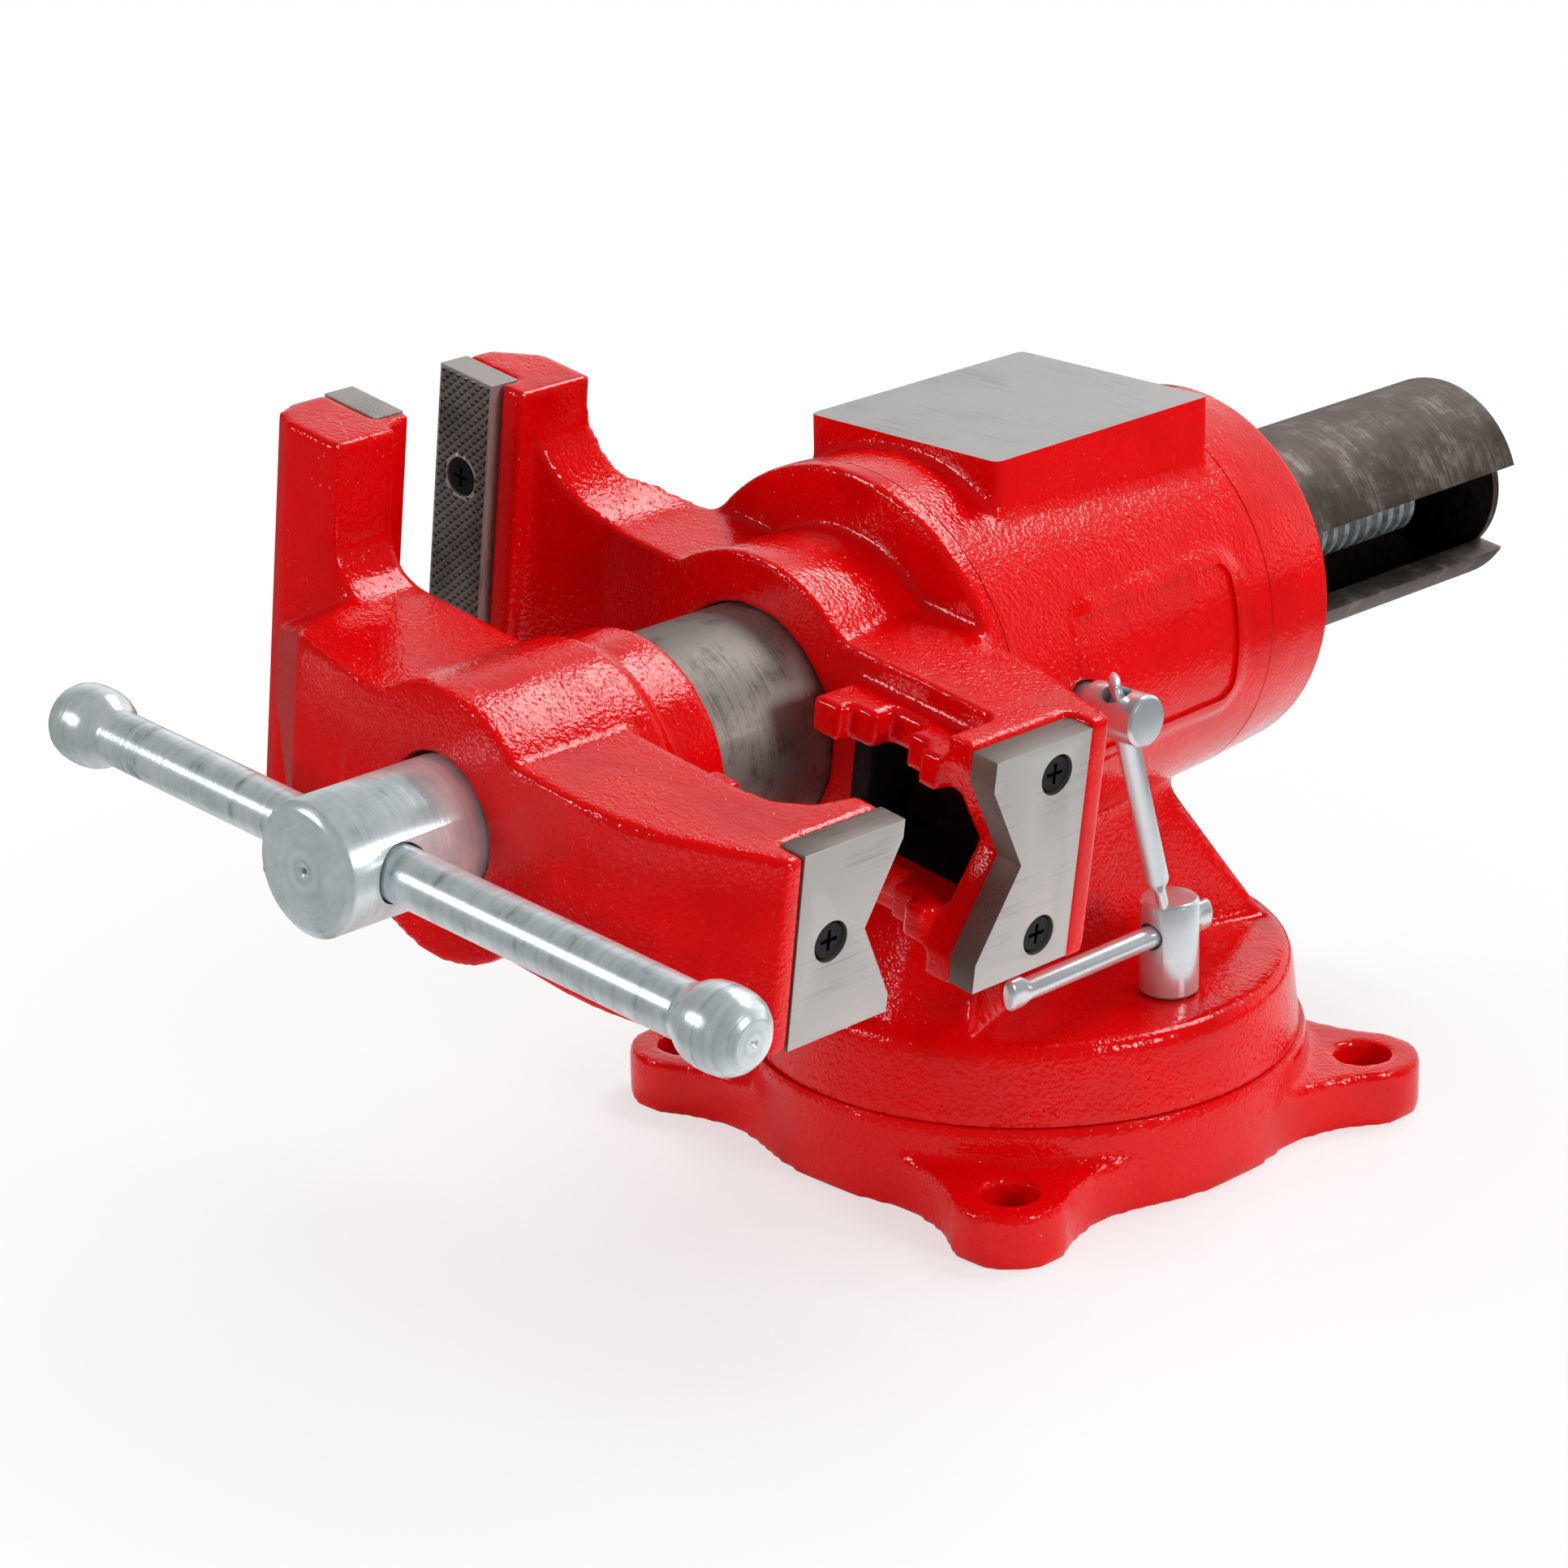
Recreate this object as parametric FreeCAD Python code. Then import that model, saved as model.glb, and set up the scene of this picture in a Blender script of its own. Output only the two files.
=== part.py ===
import FreeCAD, Part
import math
import os

# Multipurpose bench vise, millimetres, Z up, jaws to the front at -Y.
# The swivel axis is Z through the origin, the table is at z = 0.
# The screw axis runs along Y above the origin at axis_height.
# Jaw parts are drawn with the screw axis through the origin, then tilted and lifted.

axis_height = 142.0
head_tilt = 8.04
bar_tilt = 4.07

# clearances
running_gap = 0.35
face_gap = 0.3
overlap = 2.0

# base
base_height = 25.65
base_radius = 79.5
base_chamfer = 1.5
lug_count = 4
lug_first_angle = 40.66
lug_circle_radius = 95.0
lug_radius = 16.1
lug_height = 15.5
lug_blend_radius = 40.0
bolt_hole_radius = 7.75
pivot_recess_radius = 24.0
pivot_recess_depth = 12.0
track_wide = 22.0
track_narrow = 12.0
track_floor = 5.0
track_step = 14.0

# swivel bolt
pivot_radius = 8.0
pivot_head_radius = 13.5
pivot_head_height = 8.0
pivot_top = 62.0
pivot_washer_radius = 19.0
pivot_washer_height = 2.5

# swivel disc and neck
disc_bottom = base_height + face_gap
disc_top = 48.5
disc_radius_bottom = 77.4
disc_radius_top = 74.9
disc_edge = 3.5
neck_top = 100.0
# outlines of the right half, from front to rear
neck_foot = [(16.0, -71.0), (38.0, -62.0), (31.0, -42.0), (27.6, -18.0),
             (27.6, 18.0), (31.0, 42.0), (38.0, 62.0), (16.0, 71.0)]
neck_crown = [(16.0, -49.0), (24.0, -44.0), (24.0, -32.0), (24.0, -16.0),
              (24.0, 6.0), (24.0, 18.0), (24.0, 27.0), (16.0, 32.0)]

# barrel
barrel_front = -64.65
barrel_rear = 41.35
barrel_radius_front = 59.2
barrel_radius_rear = 53.9
sleeve_radius = 44.0
barrel_bore_radius = sleeve_radius + running_gap
panel_y = (-38.0, 28.5)
panel_z = (-18.5, 25.5)
panel_height = 1.2
panel_corner = 8.0

# anvil
anvil_half_width = 34.1
anvil_y = (-46.0, 37.1)
anvil_top = 204.1 - axis_height
anvil_edge = 0.8

# base lock
lock_x = 54.0
lock_stud_radius = 5.0
lock_stud_head_radius = 9.5
lock_stud_head_height = 6.0
lock_nut_radius = 8.2
lock_nut_top = 76.0
lock_nut_edge = 0.8
lock_bar_z = 66.5
lock_bar_radius = 3.1
lock_bar_hole_radius = 3.9
lock_bar_ends = (-64.0, 16.0)
paddle_length = 5.5
paddle_radius = 4.4
paddle_thickness = 4.6

# head lock
head_lock_y = -38.0
head_lock_shoulder = barrel_radius_front + 1.8
head_lock_end = head_lock_shoulder + 18.0
head_lock_radius = 7.0
head_lock_stud_radius = 5.6
head_lock_bar_x = head_lock_shoulder + 9.0
head_lock_bar_lean = 16.3
head_lock_bar_ends = (-13.5, 60.0)
pad_thickness = 3.0

# rotating head, drawn about the screw axis
flange_front = -70.8
flange_rear = barrel_front - face_gap
flange_radius = 59.2
sleeve_rear = 60.0
spigot_radius = 40.0
hub_front = -104.2
hub_radius_front = 44.5
hub_radius_rear = 42.5
tube_radius = 30.0
tube_bore_in_head = tube_radius + running_gap
cap_front = barrel_rear + face_gap
cap_rear = 68.9
cap_radius_front = 53.9
cap_radius_rear = 51.7
cap_edge = 2.5

# flat jaws
flat_outer = -106.0
flat_inner = -85.8
flat_half_width = 66.4
spine_inner = -77.0
spine_corner = 10.0
fixed_flat_face = -122.0
fixed_flat_seat = -112.2
fixed_spine_rear = -94.0
fixed_lip_front = -118.5
moving_flat_face = -150.9
moving_flat_seat = -160.9
moving_spine_front = -181.5
moving_lip_rear = -152.0
moving_lip_inner = -83.0
flat_screw_offset = 37.2

# arms of the flat jaws
post_tip = 5.4
fixed_arm_half = 33.0
fixed_arm_fillet = flat_half_width - fixed_arm_half - post_tip
fixed_arm_front = [(spine_inner, -113.5), (-72.6, -111.0), (-66.9, -108.0), (-56.9, -104.6)]
fixed_arm_back = [(-50.0, -72.0), (-57.0, -75.0), (-64.0, -80.0), (-67.0, -86.0), (-71.0, -90.0)]
moving_arm_half = 26.5
moving_post_tip = 24.9
moving_arm_fillet = flat_half_width - moving_arm_half - moving_post_tip
moving_arm_rear = -160.0
moving_web_end = -50.0
moving_arm_front = [(-24.0, -209.7), (-44.0, -207.6), (-61.0, -205.0), (-94.0, -184.0)]
# the top falls away towards the outer front corner, from this point with these slopes along X and Y
moving_fall_start = (-61.0, -205.0)
moving_fall_slopes = (0.657, 0.248)

# V jaws
v_face = 100.3
v_seat = 92.1
v_wall = 83.5
v_flat_end = 8.0
fixed_v_front = -120.9
fixed_v_rear = -86.7
fixed_v_half = 31.7
fixed_v_notch = -107.8
fixed_v_screw_y = -98.2
fixed_v_screw_z = 22.2
fixed_v_lip = -80.0
fixed_v_arm_half = 33.0
fixed_v_arm_front = hub_front
fixed_v_arm_back = [(47.0, -71.2), (72.0, -73.2)]
moving_v_front = -185.6
moving_v_rear = -152.0
moving_v_half = 26.1
moving_v_notch = -162.5
moving_v_flat_end = 5.0
moving_v_screw_y = -174.0
moving_v_lip = -191.0
moving_v_arm_half = 26.0
moving_v_arm_rear = -172.0
moving_v_arm_bend = [(81.0, -163.0), (74.0, -170.0), (64.0, -172.0)]
moving_v_arm_front = [(50.0, -210.0), (60.0, -208.8), (73.0, -205.4), (86.0, -198.8)]
notch_relief = 2.0

# pipe jaw teeth, outline from the hub outward
tooth_top = 26.0
tooth_bottom = 16.0
tooth_centre = 61.2
fixed_teeth = [(-23.2, 17.0), (-13.6, 17.0), (-13.6, 12.5), (-5.6, 12.5), (-5.6, 6.0)]
moving_tooth_top = 15.0
moving_tooth_bottom = 6.0
moving_tooth_line = -171.0
pocket_inner = 40.0
pocket_rear = -84.0

# slide tube
tube_bore_radius = 22.8
tube_front = -195.0
tube_rear = 182.0
tube_edge = 0.8
slot_half_width = 13.2
slot_front = -32.0
end_disc_thickness = 2.7

# moving jaw hub
moving_hub_front = -210.0
moving_hub_rear = -144.2
moving_hub_radius = 36.2
moving_ring_radius = 34.1
moving_ring_front = -162.0
head_recess_radius = 18.5
head_recess_floor = -202.5

# screw
screw_radius = 11.0
screw_rear = 160.0
screw_end_chamfer = 2.0
head_radius = 17.4
head_front = -252.4
head_rear = head_recess_floor - 1.8
head_chamfer = 1.4
thrust_washer_thickness = 1.8
collar_front = tube_front + face_gap
collar_rear = -186.0
collar_radius = 18.0
collar_pin_radius = 2.0

# nut on the screw, keyed through the slot of the tube
nut_y = (0.0, 38.0)
nut_radius = tube_bore_radius - running_gap
key_half_width = 12.0
key_outer = sleeve_radius - 2 * face_gap

# tommy bar
bar_y = -235.3
bar_radius = 7.25
bar_hole_radius = 7.9
bar_ball_centres = (-105.0, 127.5)
ball_radius = 10.6
ball_flat = 9.0
bar_socket_depth = 6.0

# jaw screws
jaw_screw_head_radius = 5.0
jaw_screw_head_height = 3.2
jaw_screw_radius = 3.0
jaw_screw_recess_radius = 5.4
jaw_screw_recess_depth = 4.0
jaw_screw_length = 20.0
drive_width = 1.1
drive_length = 5.6
drive_depth = 1.6


def vec(x, y, z):
    return FreeCAD.Vector(x, y, z)


def cylinder(radius, start, end, axis, centre=(0.0, 0.0)):
    # centre gives the two other coordinates, in X, Y, Z order
    length = end - start
    if axis == "x":
        return Part.makeCylinder(radius, length, vec(start, centre[0], centre[1]), vec(1, 0, 0))
    if axis == "y":
        return Part.makeCylinder(radius, length, vec(centre[0], start, centre[1]), vec(0, 1, 0))
    return Part.makeCylinder(radius, length, vec(centre[0], centre[1], start), vec(0, 0, 1))


def cone_y(radius_start, radius_end, start, end):
    if abs(radius_start - radius_end) < 1e-6:
        return cylinder(radius_start, start, end, "y")
    return Part.makeCone(radius_start, radius_end, end - start, vec(0, start, 0), vec(0, 1, 0))


def box(x_range, y_range, z_range):
    size = [max(r) - min(r) for r in (x_range, y_range, z_range)]
    return Part.makeBox(size[0], size[1], size[2], vec(min(x_range), min(y_range), min(z_range)))


def prism(points, plane, start, end):
    # outline in the named plane, drawn out along the third axis
    if plane == "xy":
        corners = [vec(a, b, start) for a, b in points]
        run = vec(0, 0, end - start)
    elif plane == "xz":
        corners = [vec(a, start, b) for a, b in points]
        run = vec(0, end - start, 0)
    else:
        corners = [vec(start, a, b) for a, b in points]
        run = vec(end - start, 0, 0)
    wire = Part.makePolygon(corners + [corners[0]])
    return Part.Face(wire).extrude(run)


def turned(profile):
    # solid of revolution about Y from (position along Y, radius) pairs
    points = [vec(0, profile[0][0], 0)]
    points += [vec(radius, along, 0) for along, radius in profile]
    points.append(vec(0, profile[-1][0], 0))
    wire = Part.makePolygon(points + [points[0]])
    return Part.Face(wire).revolve(vec(0, 0, 0), vec(0, 1, 0), 360)


def join(shapes):
    result = shapes[0].fuse(shapes[1:]) if len(shapes) > 1 else shapes[0]
    return result.removeSplitter()


def mirrored_z(shape):
    return shape.mirror(vec(0, 0, 0), vec(0, 0, 1))


def on_head(shape):
    shape.rotate(vec(0, 0, 0), vec(0, 1, 0), head_tilt)
    shape.translate(vec(0, 0, axis_height))
    return shape


def on_bar(shape):
    shape.rotate(vec(0, 0, 0), vec(0, 1, 0), bar_tilt)
    shape.translate(vec(0, 0, axis_height))
    return shape


def on_axis(shape):
    shape.translate(vec(0, 0, axis_height))
    return shape


def circular_edges(shape, radius, axis_value, axis):
    found = []
    for edge in shape.Edges:
        if not isinstance(edge.Curve, Part.Circle):
            continue
        centre = edge.Curve.Center
        value = {"x": centre.x, "y": centre.y, "z": centre.z}[axis]
        if abs(edge.Curve.Radius - radius) < 0.05 and abs(value - axis_value) < 0.05:
            found.append(edge)
    return found


# base

def lug(angle):
    # one ear with its two hollow blends into the round body
    reach = base_radius + lug_blend_radius
    side = lug_radius + lug_blend_radius
    spread = math.acos((lug_circle_radius ** 2 + reach ** 2 - side ** 2) / (2 * lug_circle_radius * reach))
    centre = vec(lug_circle_radius, 0, 0)
    half = {}
    for sign in (-1, 1):
        blend = vec(reach * math.cos(spread), sign * reach * math.sin(spread), 0)
        near_body = blend.normalize() * base_radius
        blend = vec(reach * math.cos(spread), sign * reach * math.sin(spread), 0)
        outward = blend - centre
        near_lug = centre + outward.normalize() * lug_radius
        to_body = near_body - blend
        to_lug = near_lug - blend
        middle_way = to_body.normalize() + to_lug.normalize()
        middle = blend + middle_way.normalize() * lug_blend_radius
        half[sign] = (near_body, middle, near_lug)
    tip = vec(lug_circle_radius + lug_radius, 0, 0)
    edges = [
        Part.Arc(half[-1][0], half[-1][1], half[-1][2]).toShape(),
        Part.Arc(half[-1][2], tip, half[1][2]).toShape(),
        Part.Arc(half[1][2], half[1][1], half[1][0]).toShape(),
        Part.LineSegment(half[1][0], half[-1][0]).toShape(),
    ]
    solid = Part.Face(Part.Wire(edges)).extrude(vec(0, 0, lug_height))
    solid.rotate(vec(0, 0, 0), vec(0, 0, 1), angle)
    return solid


def base_plate():
    body = cylinder(base_radius, 0, base_height, "z")
    body = body.makeChamfer(base_chamfer, circular_edges(body, base_radius, base_height, "z"))
    angles = [lug_first_angle + 360.0 * i / lug_count for i in range(lug_count)]
    body = join([body] + [lug(angle) for angle in angles])
    for angle in angles:
        x = lug_circle_radius * math.cos(math.radians(angle))
        y = lug_circle_radius * math.sin(math.radians(angle))
        body = body.cut(cylinder(bolt_hole_radius, -overlap, base_height + overlap, "z", (x, y)))
    body = body.cut(cylinder(pivot_radius + running_gap, -overlap, base_height + overlap, "z"))
    body = body.cut(cylinder(pivot_recess_radius, -overlap, pivot_recess_depth, "z"))
    # the T-shaped ring track that the lock stud runs in
    wide = cylinder(lock_x + track_wide / 2, track_floor, track_step, "z")
    wide = wide.cut(cylinder(lock_x - track_wide / 2, track_floor, track_step, "z"))
    narrow = cylinder(lock_x + track_narrow / 2, track_floor, base_height + overlap, "z")
    narrow = narrow.cut(cylinder(lock_x - track_narrow / 2, track_floor, base_height + overlap, "z"))
    return body.cut(wide).cut(narrow)


def swivel_bolt():
    head_top = pivot_recess_depth - face_gap - pivot_washer_height
    head = Part.makeCylinder(pivot_head_radius, pivot_head_height, vec(0, 0, head_top - pivot_head_height))
    corners = []
    for i in range(6):
        angle = math.radians(60 * i)
        corners.append((pivot_head_radius * math.cos(angle), pivot_head_radius * math.sin(angle)))
    hexagon = prism(corners, "xy", head_top - pivot_head_height, head_top)
    shank = cylinder(pivot_radius, head_top - overlap, pivot_top, "z")
    return join([head.common(hexagon), shank])


def swivel_washer():
    top = pivot_recess_depth - face_gap
    bottom = top - pivot_washer_height
    ring = cylinder(pivot_washer_radius, bottom, top, "z")
    return ring.cut(cylinder(pivot_radius, bottom - overlap, top + overlap, "z"))


# swivel body

def neck():
    foot = neck_foot + [(-x, y) for x, y in reversed(neck_foot)]
    crown = neck_crown + [(-x, y) for x, y in reversed(neck_crown)]
    wires = []
    for outline, z in ((foot, disc_top - overlap), (crown, neck_top)):
        corners = [vec(x, y, z) for x, y in outline]
        wires.append(Part.makePolygon(corners + [corners[0]]))
    flare = Part.makeLoft(wires, True, True)
    stem = prism(crown, "xy", neck_top, axis_height)
    return join([flare, stem])


def barrel():
    shell = cone_y(barrel_radius_front, barrel_radius_rear, barrel_front, barrel_rear)
    block = box((-anvil_half_width, anvil_half_width), anvil_y, (0.0, anvil_top))
    corners = [e for e in block.Edges if abs(e.BoundBox.ZMin - anvil_top) < 1e-3]
    block = block.makeChamfer(anvil_edge, corners)
    pad = box((0.0, barrel_radius_front + overlap), panel_y, panel_z)
    pad = pad.makeFillet(panel_corner, [e for e in pad.Edges if e.BoundBox.XLength > barrel_radius_front])
    skin = cone_y(barrel_radius_front + panel_height, barrel_radius_rear + panel_height,
                  barrel_front, barrel_rear)
    return on_axis(join([shell, block, pad.common(skin)]))


def swivel_body():
    disc = Part.makeCone(disc_radius_bottom, disc_radius_top, disc_top - disc_bottom, vec(0, 0, disc_bottom))
    disc = disc.makeFillet(disc_edge, circular_edges(disc, disc_radius_top, disc_top, "z"))
    body = join([disc, neck(), barrel()])
    bore = cylinder(barrel_bore_radius, barrel_front - overlap, barrel_rear + overlap, "y", (0, axis_height))
    stud_hole = cylinder(head_lock_stud_radius + running_gap, 0, barrel_radius_front + overlap, "x",
                         (head_lock_y, axis_height))
    body = body.cut(bore).cut(stud_hole)
    body = body.cut(cylinder(pivot_radius, disc_bottom - overlap, pivot_top, "z"))
    return body.cut(cylinder(lock_stud_radius, disc_bottom - overlap, disc_top + overlap, "z", (lock_x, 0)))


# lock handles

def handle_bar(start, end):
    # round bar along Z with a pressed paddle at each end, so that it can't fall out
    rod = cylinder(lock_bar_radius, start, end, "z")
    parts = [rod]
    for low in (start, end - paddle_length):
        paddle = cylinder(paddle_radius, low, low + paddle_length, "z")
        side = (-paddle_thickness / 2, paddle_thickness / 2)
        slab = box(side, (-paddle_radius, paddle_radius), (low, low + paddle_length))
        parts.append(paddle.common(slab))
    return join(parts)


def base_lock_stud():
    head = cylinder(lock_stud_head_radius, track_step - face_gap - lock_stud_head_height,
                    track_step - face_gap, "z", (lock_x, 0))
    rod = cylinder(lock_stud_radius, track_step - overlap, lock_bar_z - 2 * lock_bar_hole_radius,
                   "z", (lock_x, 0))
    return join([head, rod])


def base_lock_nut():
    bottom = disc_top + face_gap
    nut = cylinder(lock_nut_radius, bottom, lock_nut_top, "z")
    rims = circular_edges(nut, lock_nut_radius, lock_nut_top, "z")
    rims += circular_edges(nut, lock_nut_radius, bottom, "z")
    nut = nut.makeChamfer(lock_nut_edge, rims)
    stud_end = lock_bar_z - 2 * lock_bar_hole_radius
    nut = nut.cut(cylinder(lock_stud_radius + running_gap, bottom - overlap, stud_end + face_gap, "z"))
    reach = 2 * lock_nut_radius
    nut = nut.cut(cylinder(lock_bar_hole_radius, -reach, reach, "y", (0, lock_bar_z)))
    nut.translate(vec(lock_x, 0, 0))
    return nut


def base_lock_bar():
    bar = handle_bar(lock_bar_ends[0], lock_bar_ends[1])
    bar.rotate(vec(0, 0, 0), vec(1, 0, 0), -90)
    bar.translate(vec(lock_x, 0, lock_bar_z))
    return bar


def head_lock_screw():
    knob = cylinder(head_lock_radius, head_lock_shoulder, head_lock_end, "x")
    rims = circular_edges(knob, head_lock_radius, head_lock_end, "x")
    knob = knob.makeChamfer(lock_nut_edge, rims)
    stud = cylinder(head_lock_stud_radius, sleeve_radius + running_gap + pad_thickness,
                    head_lock_shoulder + overlap, "x")
    screw = join([knob, stud])
    reach = 2 * head_lock_radius
    hole = cylinder(lock_bar_hole_radius, -reach, reach, "z", (head_lock_bar_x, 0))
    screw = screw.cut(hole)
    screw.rotate(vec(0, 0, 0), vec(1, 0, 0), head_lock_bar_lean)
    screw.translate(vec(0, head_lock_y, axis_height))
    return screw


def head_lock_bar():
    bar = handle_bar(-head_lock_bar_ends[1], -head_lock_bar_ends[0])
    bar.rotate(vec(0, 0, 0), vec(1, 0, 0), head_lock_bar_lean)
    bar.translate(vec(head_lock_bar_x, head_lock_y, axis_height))
    return bar


def head_lock_pad():
    start = sleeve_radius + running_gap
    return cylinder(head_lock_stud_radius, start, start + pad_thickness, "x", (head_lock_y, axis_height))


# rotating head

def arm_elevation(half, fillet, start, end):
    # post and arm as seen along the screw, with the hollow where the arm leaves the post
    upper = [(flat_outer, flat_half_width), (spine_inner, flat_half_width), (spine_inner, half), (0.0, half)]
    outline = upper + [(x, -z) for x, z in reversed(upper)]
    solid = prism(outline, "xz", start, end)
    hollows = [e for e in solid.Edges if e.BoundBox.YLength > abs(end - start) / 2
               and abs(e.BoundBox.XMin - spine_inner) < 1e-3 and abs(abs(e.CenterOfMass.z) - half) < 1e-3]
    return solid.makeFillet(fillet, hollows)


def fixed_flat_arm():
    outline = [
        (0.0, hub_front),
        (0.0, flange_rear),
    ] + fixed_arm_back + [
        (spine_inner, fixed_spine_rear),
        (flat_outer + spine_corner, fixed_spine_rear),
        (flat_outer, fixed_spine_rear - spine_corner),
        (flat_outer, fixed_flat_seat),
        (flat_inner, fixed_flat_seat),
        (flat_inner, fixed_lip_front),
        (spine_inner, fixed_lip_front),
    ] + fixed_arm_front
    plan = prism(outline, "xy", -flat_half_width, flat_half_width)
    return plan.common(arm_elevation(fixed_arm_half, fixed_arm_fillet, fixed_lip_front, flange_rear))


def notch_cutter(front, notch, half, flat_end, x_start, x_end, relief):
    # the V between the tips of a V jaw, as a prism along X
    sign = 1 if notch > front else -1
    outline = [
        (front - sign * overlap, half - flat_end + relief),
        (front, half - flat_end + relief),
        (notch + sign * relief, 0.0),
        (front, -(half - flat_end + relief)),
        (front - sign * overlap, -(half - flat_end + relief)),
    ]
    return prism(outline, "yz", x_start, x_end)


def tooth_block(steps, seat, root, sign):
    # stepped pipe jaw outline, mirrored about tooth_centre
    left = [(tooth_centre + a, seat - sign * b) for a, b in steps]
    right = [(2 * tooth_centre - a, b) for a, b in reversed(left)]
    outline = [(left[0][0], root)] + left + right + [(right[-1][0], root)]
    return outline


def fixed_v_arm():
    outline = [
        (0.0, flange_rear),
        (tube_radius + overlap, flange_rear),
    ] + fixed_v_arm_back + [
        (v_face, fixed_v_lip),
        (v_face, fixed_v_rear),
        (v_seat, fixed_v_rear),
        (v_seat, fixed_v_front),
        (v_wall, fixed_v_front),
        (v_wall, fixed_v_arm_front),
        (0.0, fixed_v_arm_front),
    ]
    arm = prism(outline, "xy", -fixed_v_arm_half, fixed_v_arm_half)
    teeth = tooth_block(fixed_teeth, fixed_v_arm_front, fixed_v_arm_front + overlap, 1)
    upper = prism(teeth, "xy", tooth_bottom, tooth_top)
    arm = join([arm, upper, mirrored_z(upper)])
    pocket = box((pocket_inner, v_wall), (fixed_v_front - overlap, pocket_rear), (-tooth_bottom, tooth_bottom))
    notch = notch_cutter(fixed_v_front, fixed_v_notch, fixed_v_half, v_flat_end,
                         v_wall - overlap, v_seat + overlap, notch_relief)
    return arm.cut(pocket).cut(notch)


def fixed_flat_positions():
    middle = (flat_outer + flat_inner) / 2
    return [(middle, flat_screw_offset), (middle, -flat_screw_offset)]


def fixed_v_positions():
    return [(fixed_v_screw_y, fixed_v_screw_z), (fixed_v_screw_y, -fixed_v_screw_z)]


def moving_v_positions():
    return [(moving_v_screw_y, 0.0)]


head_sink = jaw_screw_recess_depth - jaw_screw_head_height
flat_thread = jaw_screw_length - (fixed_flat_seat - fixed_flat_face) + head_sink
v_thread = jaw_screw_length - (v_face - v_seat) + head_sink


def rotating_head():
    flange = cylinder(flange_radius, flange_front, flange_rear, "y")
    hub = cone_y(hub_radius_front, hub_radius_rear, hub_front, flange_rear)
    sleeve = cylinder(sleeve_radius, flange_rear, cap_front, "y")
    spigot = cylinder(spigot_radius, cap_front - overlap, sleeve_rear, "y")
    head = join([flange, hub, sleeve, spigot, fixed_flat_arm(), fixed_v_arm()])
    head = head.cut(cylinder(tube_bore_in_head, fixed_v_front, sleeve_rear + overlap, "y"))
    window = box((tube_radius - 2 * overlap, sleeve_radius + overlap), nut_y, (-key_half_width, key_half_width))
    head = head.cut(window)
    for x, z in fixed_flat_positions():
        bore_end = fixed_flat_seat + flat_thread
        head = head.cut(cylinder(jaw_screw_radius, fixed_flat_seat - overlap, bore_end, "y", (x, z)))
    for y, z in fixed_v_positions():
        head = head.cut(cylinder(jaw_screw_radius, v_seat - v_thread, v_seat + overlap, "x", (y, z)))
    return on_head(head)


def rear_cap():
    cap = cone_y(cap_radius_front, cap_radius_rear, cap_front, cap_rear)
    cap = cap.makeFillet(cap_edge, circular_edges(cap, cap_radius_rear, cap_rear, "y"))
    cap = cap.cut(cylinder(spigot_radius, cap_front - overlap, sleeve_rear, "y"))
    cap = cap.cut(cylinder(tube_bore_in_head, sleeve_rear - overlap, cap_rear + overlap, "y"))
    return on_head(cap)


def screw_nut():
    body = cylinder(nut_radius, nut_y[0], nut_y[1], "y")
    key = box((screw_radius + overlap, key_outer), nut_y, (-key_half_width, key_half_width))
    key = key.common(cylinder(key_outer, nut_y[0], nut_y[1], "y"))
    nut = join([body, key])
    return on_head(nut.cut(cylinder(screw_radius + running_gap, nut_y[0] - overlap, nut_y[1] + overlap, "y")))


# moving jaw

def slide_tube():
    tube = cylinder(tube_radius, tube_front, tube_rear, "y")
    tube = tube.makeChamfer(tube_edge, circular_edges(tube, tube_radius, tube_rear, "y"))
    tube = tube.cut(cylinder(tube_bore_radius, tube_front - overlap, tube_rear + overlap, "y"))
    slot = box((0.0, tube_radius + overlap), (slot_front, tube_rear + overlap),
               (-slot_half_width, slot_half_width))
    return on_head(tube.cut(slot))


def tube_end_disc():
    return on_head(cylinder(tube_bore_radius, tube_rear - end_disc_thickness, tube_rear, "y"))


def moving_spine():
    outline = [
        (flat_outer, moving_flat_seat),
        (flat_inner, moving_flat_seat),
        (flat_inner, moving_lip_rear),
        (moving_lip_inner, moving_lip_rear),
        (spine_inner, moving_spine_front),
        (flat_outer + spine_corner, moving_spine_front),
        (flat_outer + 0.3 * spine_corner, moving_spine_front + 0.3 * spine_corner),
        (flat_outer, moving_spine_front + spine_corner),
    ]
    return prism(outline, "xy", -flat_half_width, flat_half_width)


def moving_flat_arm():
    plan = [(0.0, moving_hub_front)] + moving_arm_front + [
        (flat_outer + spine_corner, moving_spine_front),
        (flat_outer + spine_corner, moving_flat_seat),
        (moving_lip_inner, moving_flat_seat),
        (spine_inner, moving_arm_rear),
        (0.0, moving_arm_rear),
    ]
    half = moving_arm_half
    arm = prism(plan, "xy", -half, half)
    slope_x, slope_y = moving_fall_slopes
    size = 2 * abs(flat_outer)
    fall = Part.makeBox(size, size, size, vec(-size / 2, -size / 2, 0))
    normal = vec(-slope_x, -slope_y, 1)
    fall.Placement = FreeCAD.Placement(vec(moving_fall_start[0], moving_fall_start[1], half),
                                       FreeCAD.Rotation(vec(0, 0, 1), normal))
    arm = arm.cut(fall).cut(mirrored_z(fall))
    web = box((moving_lip_inner, moving_web_end), (moving_spine_front, moving_flat_seat),
              (-flat_half_width, flat_half_width))
    web = web.common(arm_elevation(half, moving_arm_fillet, moving_spine_front, moving_flat_seat))
    return join([arm, web])


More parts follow.
